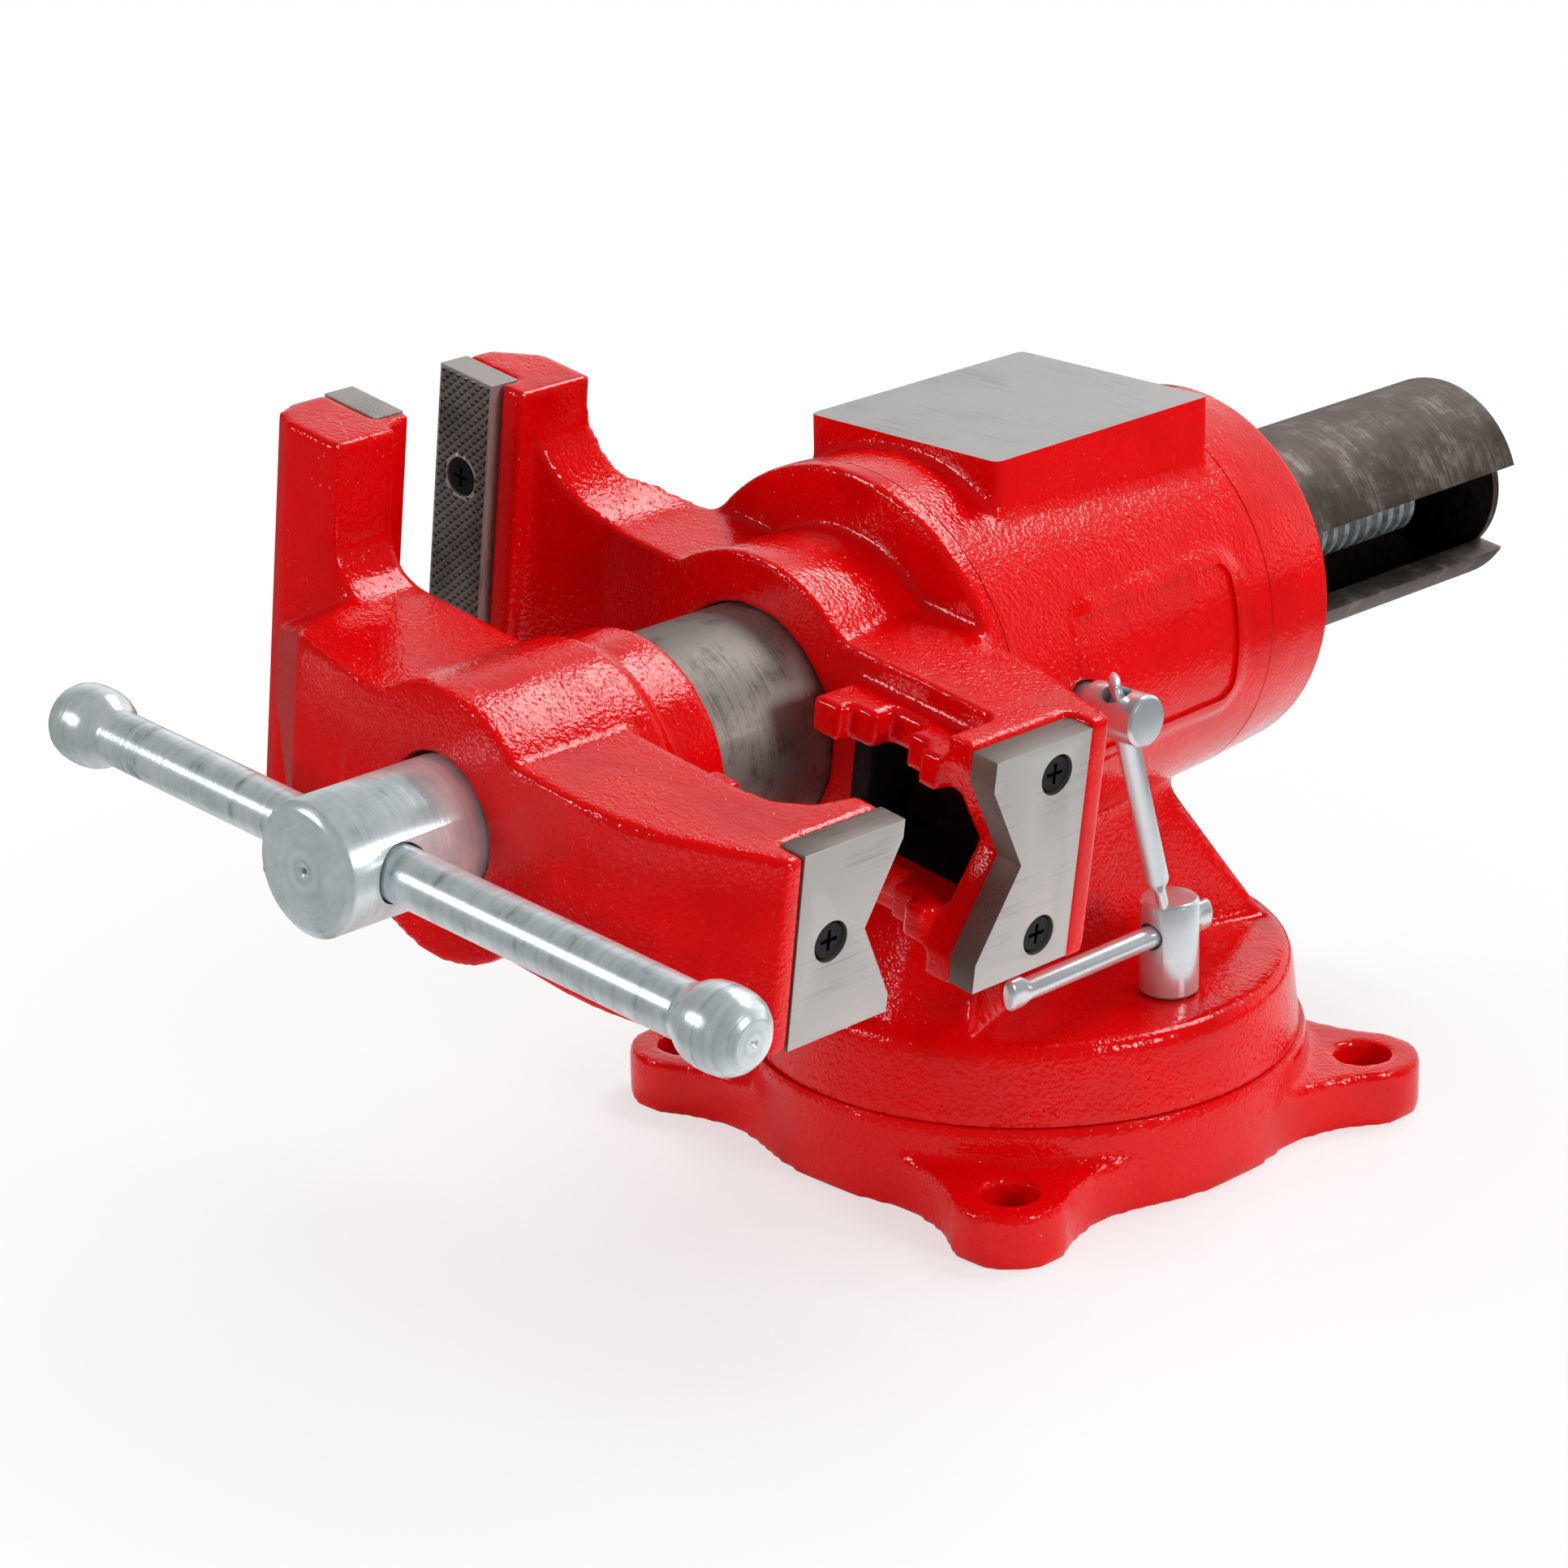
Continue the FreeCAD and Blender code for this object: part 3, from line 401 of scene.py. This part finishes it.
def machine(piece, cutters):
    # takes the cutters' shapes off the piece
    for shape in cutters:
        bmesh.ops.recalc_face_normals(shape, faces=shape.faces)
        mesh = bpy.data.meshes.new("cutter")
        shape.to_mesh(mesh)
        shape.free()
        cutter = bpy.data.objects.new("cutter", mesh)
        scene.collection.objects.link(cutter)
        cut = piece.modifiers.new("cut", "BOOLEAN")
        cut.operation = "DIFFERENCE"
        cut.solver = "MANIFOLD"
        cut.object = cutter
        graph = bpy.context.evaluated_depsgraph_get()
        result = bpy.data.meshes.new_from_object(piece.evaluated_get(graph))
        piece.modifiers.clear()
        old = piece.data
        result.name = old.name
        piece.data = result
        bpy.data.meshes.remove(old)
        bpy.data.objects.remove(cutter)
    piece.data.set_sharp_from_angle(angle=radians(faceAngles["cast"]))


def mergeFlats(shape):
    bmesh.ops.dissolve_limit(shape, angle_limit=radians(faceAngles["flat"]), verts=shape.verts,
                             edges=shape.edges)


def breakEdges(shape, width):
    # takes the sharpness off a machined part's edges; width in mm
    sharp = radians(faceAngles["edge"])
    edges = [e for e in shape.edges if len(e.link_faces) == 2 and e.calc_face_angle(0) > sharp]
    bmesh.ops.bevel(shape, geom=edges, offset=width * mm, affect="EDGES", segments=2, profile=0.5,
                    material=-1, clamp_overlap=True)


# base

baseCasting = {"ring": (20, 30, 68, 78.2), "top": 25.65, "voxel": 1.4, "rounds": 3}


def makeBase():
    # the ring keeps the upper rim full; what stands too high is faced off
    shape = fromCad("base_plate")
    turnUpright(shape, addRing(shape, *baseCasting["ring"]))
    shape = recast(shape, baseCasting["voxel"], baseCasting["rounds"])
    faceOff(shape, (0, 0, baseCasting["top"]), (0, 0, 1))
    faceOff(shape, (0, 0, 0), (0, 0, -1))
    piece = toPiece(shape, "base_casting", "base", [enamel])
    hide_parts("base_plate")


makeBase()
print("base made")


# swivel body: disc, neck and barrel in one casting

swivelCasting = {"voxel": 1.4, "rounds": 3, "discBottom": 25.95, "discRing": (21, 28, 60, 77.4),
                 "barrelFront": -64.65, "barrelRear": 41.35, "frontRadius": 59.2, "rearRadius": 53.9,
                 "ringInner": 45, "spare": 4, "overlap": 2, "trued": 5, "neck": (52, 92), "neckRounds": 14,
                 "anvilTop": 204.1, "anvilFrom": 190, "anvilHalf": 34.1, "anvilY": (-46.0, 37.1),
                 "cutInner": 30, "cutFar": 9, "cutRadii": (64, 55.5)}
barrelPanel = {"y": (-38.0, 28.5), "z": (-18.5, 25.5), "corner": 8.0, "line": 3.0, "depth": 4.0, "rows": 40,
               "columns": 30, "open": 1.0, "above": 0.1}


def panelHollow():
    # what is taken out between the panel's border lines, down to the barrel's own skin;
    # the border is open towards the front
    p, s = barrelPanel, swivelCasting
    low, high = p["y"][0] - p["open"], p["y"][1] - p["line"]
    bottom, top = p["z"][0] + p["line"], p["z"][1] - p["line"]
    corner = p["corner"] - p["line"]
    shape = bmesh.new()
    sheets = []
    for rise in (0.0, p["depth"]):
        sheet = []
        for i in range(p["rows"] + 1):
            share = (1 - cos(pi * i / p["rows"])) / 2
            y = low + (high - low) * share
            near = max(0.0, corner - (high - y))
            pull = corner - (corner ** 2 - near ** 2) ** 0.5
            away = (y - s["barrelFront"]) / (s["barrelRear"] - s["barrelFront"])
            radius = s["frontRadius"] + (s["rearRadius"] - s["frontRadius"]) * away + p["above"]
            row = []
            for j in range(p["columns"] + 1):
                z = bottom + pull + (top - bottom - 2 * pull) * j / p["columns"]
                x = (radius ** 2 - z ** 2) ** 0.5 + rise
                row.append(shape.verts.new(Vector((x, y, z + screwAxis["height"])) * mm))
            sheet.append(row)
        sheets.append(sheet)
        for row, after in zip(sheet, sheet[1:]):
            for j in range(p["columns"]):
                shape.faces.new((row[j], row[j + 1], after[j + 1], after[j]))
    loops = []
    for sheet in sheets:
        loop = list(sheet[0]) + [row[-1] for row in sheet[1:]] + list(reversed(sheet[-1][:-1]))
        loops.append(loop + [row[0] for row in reversed(sheet[1:-1])])
    for i in range(len(loops[0])):
        j = (i + 1) % len(loops[0])
        shape.faces.new((loops[0][i], loops[0][j], loops[1][j], loops[1][i]))
    return shape


def makeSwivelBody():
    s = swivelCasting
    front, rear = s["barrelFront"], s["barrelRear"]
    shape = fromCad("swivel_body")
    turnUpright(shape, addRing(shape, *s["discRing"]))
    # rings and a block keep the ends and the anvil full; they are cut to size after the recast
    for start, end, radius in ((front - s["spare"], front + s["overlap"], s["frontRadius"]),
                               (rear - s["overlap"], rear + s["spare"], s["rearRadius"])):
        liftToScrew(shape, addRing(shape, start, end, s["ringInner"], radius))
    half = s["anvilHalf"]
    near, far = s["anvilY"]
    addBlock(shape, [(-half, near), (half, near), (half, far), (-half, far)],
             s["anvilFrom"], s["anvilTop"] + s["spare"])
    shape = recast(shape, s["voxel"], s["rounds"])
    low, high = s["neck"]
    soften(shape, [v for v in shape.verts if low * mm < v.co.z < high * mm], s["neckRounds"])
    shrink = (s["rearRadius"] - s["frontRadius"]) / (rear - front)
    for rim, radius, before, after in ((front, s["frontRadius"], s["overlap"], s["trued"]),
                                       (rear, s["rearRadius"], s["trued"], s["overlap"])):
        trueRim(shape, screwAxis["height"], rim - before, rim + after,
                radius - before * shrink, radius + after * shrink)
    faceOff(shape, (0, 0, s["discBottom"]), (0, 0, -1))
    faceOff(shape, (0, 0, s["anvilTop"]), (0, 0, 1), 1)
    piece = toPiece(shape, "swivel_casting", "swivel", [enamel, anvilSteel])
    cutters = []
    frontReach, rearReach = s["cutRadii"]
    for start, end, radius in ((front - s["cutFar"], front, frontReach),
                               (rear, rear + s["cutFar"], rearReach)):
        cutter = bmesh.new()
        liftToScrew(cutter, addRing(cutter, start, end, s["cutInner"], radius))
        cutters.append(cutter)
    machine(piece, cutters + [panelHollow()])
    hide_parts("swivel_body")


makeSwivelBody()
print("swivel body made")


# rotating head

headCasting = {"voxel": 1.05, "rounds": 4, "flangeRear": -64.95, "flangeRadius": 59.2, "ringFront": -69,
               "ringInner": 34, "spare": 5, "sunk": 1, "trued": (4, 2),
               "pocket": ((38.6, 84.0), (-104.5, -82.6), (-17.4, 17.4))}


def makeHead():
    h = headCasting
    rear, radius = h["flangeRear"], h["flangeRadius"]
    # the casting, cut off behind its flange, with a ring that keeps the flange's rim full
    shape = fromCad("rotating_head", headPlace)
    faceOff(shape, (0, rear - h["sunk"], 0), (0, 1, 0))
    addRing(shape, h["ringFront"], rear + h["spare"], h["ringInner"], radius)
    shape = recast(shape, h["voxel"], h["rounds"])
    before, after = h["trued"]
    trueRim(shape, 0, rear - before, rear + after, radius, radius)
    faceOff(shape, (0, rear, 0), (0, 1, 0))
    # painted shade: the pipe jaw's pocket gets near-black iron
    for face in shape.faces:
        middle = face.calc_center_median() / mm
        if all(low < value < high for value, (low, high) in zip(middle, h["pocket"])):
            face.material_index = 1
    piece = toPiece(shape, "head_casting", "head", [enamel, pocketPaintedShade], headPlace)
    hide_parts("rotating_head")
    # the sleeve inside the barrel, as in the CAD
    sleeve = fromCad("rotating_head", headPlace)
    faceOff(sleeve, (0, rear - h["sunk"], 0), (0, -1, 0))
    inner = toPiece(sleeve, "head_sleeve", "head", [rawIron], headPlace)
    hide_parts("rotating_head")


makeHead()
print("rotating head made")


# rear cap

rearCap = {"front": 41.65, "rear": 68.9, "frontRadius": 53.9, "rearRadius": 51.7, "edge": 2.5, "bore": 30.35,
           "hollow": 40.5, "hollowEnd": 60.3, "chamfer": 0.3, "rimWidth": 0.5}


def makeRearCap():
    c = rearCap
    shape = bmesh.new()
    addTurned(shape, [(c["front"], c["hollow"]), (c["front"], c["frontRadius"] - c["chamfer"]),
                      (c["front"] + c["chamfer"], c["frontRadius"]), (c["rear"], c["rearRadius"]),
                      (c["rear"], c["bore"]), (c["hollowEnd"], c["bore"]), (c["hollowEnd"], c["hollow"])])
    # the rounded edge is the outer one at the rear
    rim = [v for v in shape.verts if v.co.xz.length > (c["rearRadius"] - c["rimWidth"]) * mm
           and abs(v.co.y - c["rear"] * mm) < nearness["point"]]
    edges = [e for e in shape.edges if all(v in rim for v in e.verts)]
    bmesh.ops.bevel(shape, geom=edges, offset=c["edge"] * mm, affect="EDGES", segments=5, profile=0.5,
                    material=-1)
    piece = toPiece(shape, "rear_cap_casting", "head", [enamel], headPlace, fixNormals=True)
    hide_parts("rear_cap")


makeRearCap()
print("rear cap made")


# moving jaw

jawCasting = {"voxel": 1.05, "rounds": 4}


def makeMovingJaw():
    shape = recast(fromCad("moving_jaw", headPlace), jawCasting["voxel"], jawCasting["rounds"])
    piece = toPiece(shape, "moving_jaw_casting", "slide", [enamel], headPlace)
    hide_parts("moving_jaw")


makeMovingJaw()
print("moving jaw made")


# crisp machined parts

# node, body, finish, width of the broken edges in mm, slot, frame that the part was drawn in
edgedParts = [
    ("v_plate_fixed", "head", groundSteel, 0.35, "ground_steel", headPlace),
    ("v_plate_moving", "slide", groundSteel, 0.35, "ground_steel", headPlace),
    ("slide_tube", "slide", tubeSteel, 0.5, "tube_steel", headPlace),
    ("tube_end_disc", "slide", tubeSteel, 0.3, "tube_steel", headPlace),
    ("base_lock_nut", "base_lock", lockZinc, 0.3, "zinc_plate"),
    ("head_lock_screw", "head_lock", lockZinc, 0.3, "zinc_plate"),
]
# faces within the radius count as the bore, but not those turned outward or rearward by more than the share
tubeBore = {"radius": 25.0, "turned": 0.4}
# a V plate's faces that look across by more than this share are its broad ones
broadFace = 0.7


def edgedCopy(node, body, material, width, slot, place=None):
    # the CAD solid with its sharp edges broken
    shape = fromCad(node, place)
    mergeFlats(shape)
    breakEdges(shape, width)
    piece = toPiece(shape, node + "_edged", body, [material], place)
    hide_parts(node)
    return piece


def paintBoreShade(piece):
    # painted shade: the inside of the tube and the near side of its end disc get near-black steel
    piece.data.materials.append(borePaintedShade)
    back = headPlace.inverted()
    for face in piece.data.polygons:
        middle = (back @ face.center) / mm
        outward = Vector((middle.x, 0, middle.z))
        facing = back.to_3x3() @ face.normal
        away = max(facing.y, facing.dot(outward.normalized()))
        if outward.length < tubeBore["radius"] and away < tubeBore["turned"]:
            face.material_index = 1


def dullSidesPaintedShade(piece):
    # only the broad faces of a V plate are ground; the other faces get the darker sawn steel, its darkness
    # partly painted shade
    piece.data.materials.append(sawnSteelPaintedShade)
    back = headPlace.inverted().to_3x3()
    for face in piece.data.polygons:
        if abs((back @ face.normal).x) < broadFace:
            face.material_index = 1


for part in edgedParts:
    piece = edgedCopy(*part)
    finish = part[2]
    # painted shade in the tube's bore
    if finish == tubeSteel:
        paintBoreShade(piece)
    # darker sawn sides on the V plates, partly painted shade
    if finish == groundSteel:
        dullSidesPaintedShade(piece)

# solids that are shown as they are
finishes = {
    "swivel_bolt": lockZinc, "swivel_washer": lockZinc, "base_lock_stud": lockZinc,
    "head_lock_pad": padBrass, "screw_nut": rawIron, "flat_screws_fixed": blackOxide,
    "flat_screws_moving": blackOxide, "v_screws_fixed": blackOxide, "v_screw_moving": blackOxide,
    "screw_washer": screwZinc, "screw_collar": screwZinc, "collar_pin": screwZinc, "tommy_bar": barZinc,
}
for name, material in finishes.items():
    mesh = nodes[name].data
    mesh.materials.clear()
    mesh.materials.append(material)
print("machined parts made")


# flat jaw plates with a knurled gripping face

flatPlate = {"outer": -106.0, "inner": -85.8, "half": 66.4, "screws": (37.2, -37.2), "clear": 6.1,
             "pitch": 2.1, "depth": 0.7, "edge": 0.5, "reach": 13, "inset": 0.3, "sunk": 0.02}
# node, body, where the points of the knurl stand, and which way they look along Y
flatPlates = [("flat_plate_fixed", "head", -122.0, -1), ("flat_plate_moving", "slide", -150.9, 1)]


def makeKnurl(face, outward):
    # a sheet of small pyramids, turned to diamonds, trimmed to the plate and open round its screws
    p = flatPlate
    knurl = bmesh.new()
    cells = int(2 * p["half"] / p["pitch"])
    side = cells * p["pitch"] * mm
    turn = Matrix.Rotation(radians(90), 4, "X") @ Matrix.Rotation(radians(45), 4, "Z")
    middle = Vector(((p["outer"] + p["inner"]) / 2, face - outward * p["depth"], 0)) * mm
    bmesh.ops.create_grid(knurl, x_segments=cells, y_segments=cells, size=side / 2,
                          matrix=Matrix.Translation(middle) @ turn)
    far = [f for f in knurl.faces if abs(f.calc_center_median().x - middle.x) > p["reach"] * mm]
    bmesh.ops.delete(knurl, geom=far, context="FACES")
    poked = bmesh.ops.poke(knurl, faces=knurl.faces[:])
    for tip in poked["verts"]:
        tip.co.y += outward * p["depth"] * mm
    rim = p["edge"] + p["inset"]
    for place, direction in (((p["outer"] + rim, 0, 0), (-1, 0, 0)), ((p["inner"] - rim, 0, 0), (1, 0, 0)),
                             ((0, 0, p["half"] - rim), (0, 0, 1)), ((0, 0, rim - p["half"]), (0, 0, -1))):
        cutAway(knurl, place, direction)
    near = [f for f in knurl.faces for z in p["screws"]
            if (f.calc_center_median() - middle - Vector((0, 0, z * mm))).xz.length < p["clear"] * mm]
    bmesh.ops.delete(knurl, geom=near, context="FACES")
    for vertex in knurl.verts:
        vertex.co.y -= outward * p["sunk"] * mm
    sheet = bpy.data.meshes.new("knurl")
    knurl.to_mesh(sheet)
    knurl.free()
    return sheet


def makeFlatPlate(node, body, face, outward):
    # the solid's face stands at the points, so it first goes back by the knurl's depth
    p = flatPlate
    shape = fromCad(node, headPlace)
    mergeFlats(shape)
    for vertex in shape.verts:
        if abs(vertex.co.y - face * mm) < nearness["point"]:
            vertex.co.y -= outward * p["depth"] * mm
    breakEdges(shape, p["edge"])
    sheet = makeKnurl(face, outward)
    plain = set(shape.faces)
    shape.from_mesh(sheet)
    bpy.data.meshes.remove(sheet)
    # painted light and shade: the upper sides of the teeth get the lighter steel, the lower sides the dark
    # one
    for side in shape.faces:
        if side not in plain:
            side.normal_update()
            side.material_index = 2 if side.normal.z > 0 else 1
    piece = toPiece(shape, node + "_knurled", body, [serratedSteel, knurlPaintedShade, knurlPaintedLight], headPlace,
                    faceAngles["knurl"])
    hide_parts(node)


for plate in flatPlates:
    makeFlatPlate(*plate)
print("flat plates made")


# screw with its real thread

# flanks are shares of the pitch; face is (behind the front, radius); tip is (behind the end, past the root)
screwShape = {"major": 11.0, "minor": 8.7, "pitch": 5.0, "flanks": (0.3, 0.42, 0.82, 0.94), "start": -198.0,
              "turns": 71, "steps": 40, "end": 160.0, "tip": ((-2, 0.2), (0, -1.4)), "headFront": -252.4,
              "headRear": -204.3, "headRadius": 17.4, "chamfer": 0.8, "shank": 12, "centre": 0.9,
              "face": [(0.6, 0.9), (0.1, 1.9), (0, 2.6), (0, 14.6), (0.35, 15.6), (1.6, 17.05), (2.1, 17.4)],
              "barHole": 7.9, "holeHalf": 30, "axis": 0.5, "around": 64}


def makeThread():
    s = screwShape
    shape = bmesh.new()
    foot, crest, crestEnd, footEnd = s["flanks"]
    profile = [(0.0, s["minor"]), (foot, s["minor"]), (crest, s["major"]), (crestEnd, s["major"]),
               (footEnd, s["minor"])]
    count = s["turns"] * s["steps"]
    rows = []
    for i in range(count + 1):
        angle = 2 * pi * i / s["steps"]
        base = s["start"] + s["pitch"] * i / s["steps"]
        rows.append([shape.verts.new((r * sin(angle) * mm, (base + share * s["pitch"]) * mm,
                                      r * cos(angle) * mm)) for share, r in profile])
    for i in range(count):
        for j in range(len(profile) - 1):
            shape.faces.new((rows[i][j], rows[i][j + 1], rows[i + 1][j + 1], rows[i + 1][j]))
        # the gap up to the next turn
        if i + s["steps"] < count:
            later = rows[i + s["steps"]:i + s["steps"] + 2]
            shape.faces.new((rows[i][-1], later[0][0], later[1][0], rows[i + 1][-1]))
    return toPiece(shape, "lead_screw_thread", "screw", [threadZinc], barPlace, fixNormals=True)


def makeScrewHead():
    s = screwShape
    head = bmesh.new()
    rear, shank = s["headRear"], s["start"] + s["shank"]
    addTurned(head, [(s["headFront"] + behind, radius) for behind, radius in s["face"]]
              + [(rear - s["chamfer"], s["headRadius"]), (rear, s["headRadius"] - s["chamfer"]),
                 (rear, s["major"]), (shank, s["major"]), (shank, s["centre"])])
    piece = toPiece(head, "lead_screw_head", "screw", [screwZinc], fixNormals=True)
    hole = bmesh.new()
    ring = addRing(hole, -s["holeHalf"], s["holeHalf"], s["axis"], s["barHole"], s["around"])
    bmesh.ops.rotate(hole, verts=ring, cent=(0, 0, 0), matrix=Matrix.Rotation(radians(90), 3, "Z"))
    bmesh.ops.translate(hole, verts=ring, vec=(0, screwAxis["barAt"] * mm, 0))
    machine(piece, [hole])
    piece.data.transform(barPlace)
    return piece


def makeScrewCore():
    s = screwShape
    core = bmesh.new()
    addTurned(core, [(s["start"], s["axis"]), (s["start"], s["minor"])]
              + [(s["end"] + behind, s["minor"] + past) for behind, past in s["tip"]]
              + [(s["end"], s["axis"])], s["around"])
    return toPiece(core, "lead_screw_core", "screw", [threadZinc], barPlace, fixNormals=True)


for makePart in (makeThread, makeScrewHead, makeScrewCore):
    piece = makePart()
    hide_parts("lead_screw")
print("screw made")


# upset ends of the sliding bar

# profile is (along from the ball's middle, radius)
barEnds = {"middles": ((-105.0, -1), (127.5, 1)), "around": 96,
           "profile": [(-12, 7.26), (-11.2, 7.4), (-10.2, 7.9), (-9, 8.7), (-7.6, 9.5), (-5.8, 10.15),
                       (-3, 10.58), (0, 10.6), (2.4, 10.35), (4.6, 9.7), (6.4, 8.6), (7.8, 7.2), (8.6, 6.2),
                       (8.95, 5.6), (9.0, 5.2), (9.0, 1.3), (8.4, 0.6), (8.3, 0.2), (-12, 0.2)]}


def makeBarEnds():
    shape = bmesh.new()
    for middle, side in barEnds["middles"]:
        ring = addTurned(shape, barEnds["profile"], barEnds["around"])
        bmesh.ops.rotate(shape, verts=ring, cent=(0, 0, 0),
                         matrix=Matrix.Rotation(radians(-90 * side), 3, "Z"))
        bmesh.ops.translate(shape, verts=ring, vec=Vector((middle, screwAxis["barAt"], 0)) * mm)
    piece = toPiece(shape, "bar_ball_ends", "handle", [barZinc], barPlace, fixNormals=True)
    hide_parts("bar_balls")


makeBarEnds()
print("bar ends made")


# bars of the two locks, pressed flat at both ends

lockBar = {"radius": 3.1, "around": 40, "rings": 12, "shoulder": 2.5, "tip": (0.25, 0.8), "trim": 0.7}
# low and high are the bar's ends; wide and thin are half the width and thickness of what is pressed flat,
# and press is its length; tilt and turn in degrees
lockBars = [
    {"node": "base_lock_bar", "body": "base_lock_handle", "at": lockPlaces["base"],
     "tilt": -90, "turn": 0, "low": -64.0, "high": 16.0, "wide": 4.4, "thin": 2.3, "press": 7.0},
    {"node": "head_lock_bar", "body": "head_lock_handle", "at": lockPlaces["head"],
     "tilt": 16.3, "turn": 45.7, "low": -60.0, "high": 11.0, "wide": 3.9, "thin": 1.6, "press": 8.0},
]


def makeLockBar(lock):
    b = lockBar
    low, high, radius, around = lock["low"], lock["high"], b["radius"], b["around"]
    first, second = b["tip"]
    half = [low, low + first, low + second]
    half += [low + lock["press"] * (i + 1) / b["rings"] for i in range(1, b["rings"])]
    shape = bmesh.new()
    rows = []
    for along in half + [low + high - place for place in reversed(half)]:
        depth = min(along - low, high - along)
        grown = min(1.0, max(0.0, 1 + (depth - lock["press"]) / b["shoulder"]))
        flat = 1 - grown * grown * (3 - 2 * grown)
        trim = b["trim"] * max(0.0, 1 - depth / second) ** 2
        thin = radius + (lock["thin"] - radius) * flat - trim
        wide = radius + (lock["wide"] - radius) * flat - trim
        rows.append([shape.verts.new((thin * cos(2 * pi * i / around) * mm,
                                      wide * sin(2 * pi * i / around) * mm, along * mm))
                     for i in range(around)])
    for row, after in zip(rows, rows[1:]):
        for i in range(around):
            j = (i + 1) % around
            shape.faces.new((row[i], row[j], after[j], after[i]))
    shape.faces.new(rows[0])
    shape.faces.new(rows[-1])
    place = (Matrix.Translation(Vector(lock["at"]) * mm) @ Matrix.Rotation(radians(lock["tilt"]), 4, "X")
             @ Matrix.Rotation(radians(lock["turn"]), 4, "Z"))
    piece = toPiece(shape, lock["node"] + "_pressed", lock["body"], [lockZinc], place, fixNormals=True)
    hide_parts(lock["node"])


for lock in lockBars:
    makeLockBar(lock)
print("lock bars made")


# floor, light and world; lengths in m

# fade and table are two distances from the middle and the shares that they give
studio = {"floor": "#fcfcfc", "floorHalf": 30, "fade": (0.05, 0.4, 0.55, 1.0),
          "table": (0.22, 0.42, 0.0, 1.0), "ambient": 0.34, "room": 0.08, "backdrop": 1.0,
          "backdropAt": (-0.3, 0.94, -0.15), "backdropEdge": (0.3, 0.85), "aim": (0, -0.05, 0.12),
          "white": (1, 1, 1, 1)}
# name, watts, width, height, place
softboxes = [
    ("overhead", 13.0, 1.1, 0.45, (0.05, 0.85, 1.35)),
    ("right", 10.5, 0.42, 0.42, (1.6, 0.1, 0.7)),
    ("left", 8.5, 0.5, 0.4, (-0.9, -1.5, 0.8)),
]


def addGlow(tree, share, under, strength):
    # plain white of the given strength, laid over a shader by its share
    glow = addNode(tree, "ShaderNodeEmission", {"Color": studio["white"], "Strength": strength})
    return addNode(tree, "ShaderNodeMixShader", links={0: share, 1: under, 2: glow.outputs[0]}).outputs[0]


def makeFloor():
    shape = bmesh.new()
    bmesh.ops.create_grid(shape, x_segments=1, y_segments=1, size=studio["floorHalf"])
    mesh = bpy.data.meshes.new("floor")
    shape.to_mesh(mesh)
    shape.free()
    floor = bpy.data.objects.new("floor", mesh)
    scene.collection.objects.link(floor)
    material, tree, shader, where = startMaterial("paleFloor", roughness=0.9)
    shader.inputs["Base Color"].default_value = hexColour(studio["floor"])
    shader.inputs["Specular IOR Level"].default_value = 0.0
    away = addNode(tree, "ShaderNodeVectorMath", {"operation": "LENGTH"}, {0: where}).outputs["Value"]
    ray = addNode(tree, "ShaderNodeLightPath").outputs
    # seen from the camera the floor runs out to plain white, with the shadow kept near the vise
    faded = multiply(tree, spread(tree, away, *studio["fade"]), ray["Is Camera Ray"])
    surface = addGlow(tree, faded, shader.outputs[0], 1.0)
    # what the vise mirrors is a table about a metre across with the dim room past its edge
    past = multiply(tree, spread(tree, away, *studio["table"]), ray["Is Glossy Ray"])
    surface = addGlow(tree, past, surface, studio["room"])
    tree.links.new(surface, tree.nodes["Material Output"].inputs["Surface"])
    mesh.materials.append(material)


def makeLights():
    for name, power, wide, high, place in softboxes:
        light = bpy.data.lights.new(name, "AREA")
        light.energy = power
        light.shape = "RECTANGLE"
        light.size = wide
        light.size_y = high
        lamp = bpy.data.objects.new(name, light)
        scene.collection.objects.link(lamp)
        lamp.location = place
        lamp.rotation_mode = "QUATERNION"
        lamp.rotation_quaternion = (Vector(place) - Vector(studio["aim"])).to_track_quat("Z", "Y")


def makeWorld():
    # a white backdrop behind the object, the dim room in front of it
    world = bpy.data.worlds.new("studio")
    scene.world = world
    world.use_nodes = True
    tree = world.node_tree
    back = tree.nodes["Background"]
    ray = addNode(tree, "ShaderNodeLightPath").outputs
    direction = addNode(tree, "ShaderNodeTexCoord").outputs["Generated"]
    behind = addNode(tree, "ShaderNodeVectorMath", {"operation": "DOT_PRODUCT", 1: studio["backdropAt"]},
                     {0: direction}).outputs["Value"]
    mirrored = spread(tree, behind, *studio["backdropEdge"], studio["room"], studio["backdrop"])
    level = addNode(tree, "ShaderNodeMix", {2: studio["ambient"]}, {0: ray["Is Glossy Ray"], 3: mirrored})
    direct = addNode(tree, "ShaderNodeMath", {"operation": "MAXIMUM"},
                     {0: ray["Is Camera Ray"], 1: ray["Is Transmission Ray"]})
    shown = addNode(tree, "ShaderNodeMix", {3: 1.0}, {0: direct.outputs[0], 2: level.outputs[0]})
    back.inputs["Color"].default_value = studio["white"]
    tree.links.new(shown.outputs[0], back.inputs["Strength"])


makeFloor()
makeLights()
makeWorld()
scene.view_settings.view_transform = "Standard"
print("studio made")
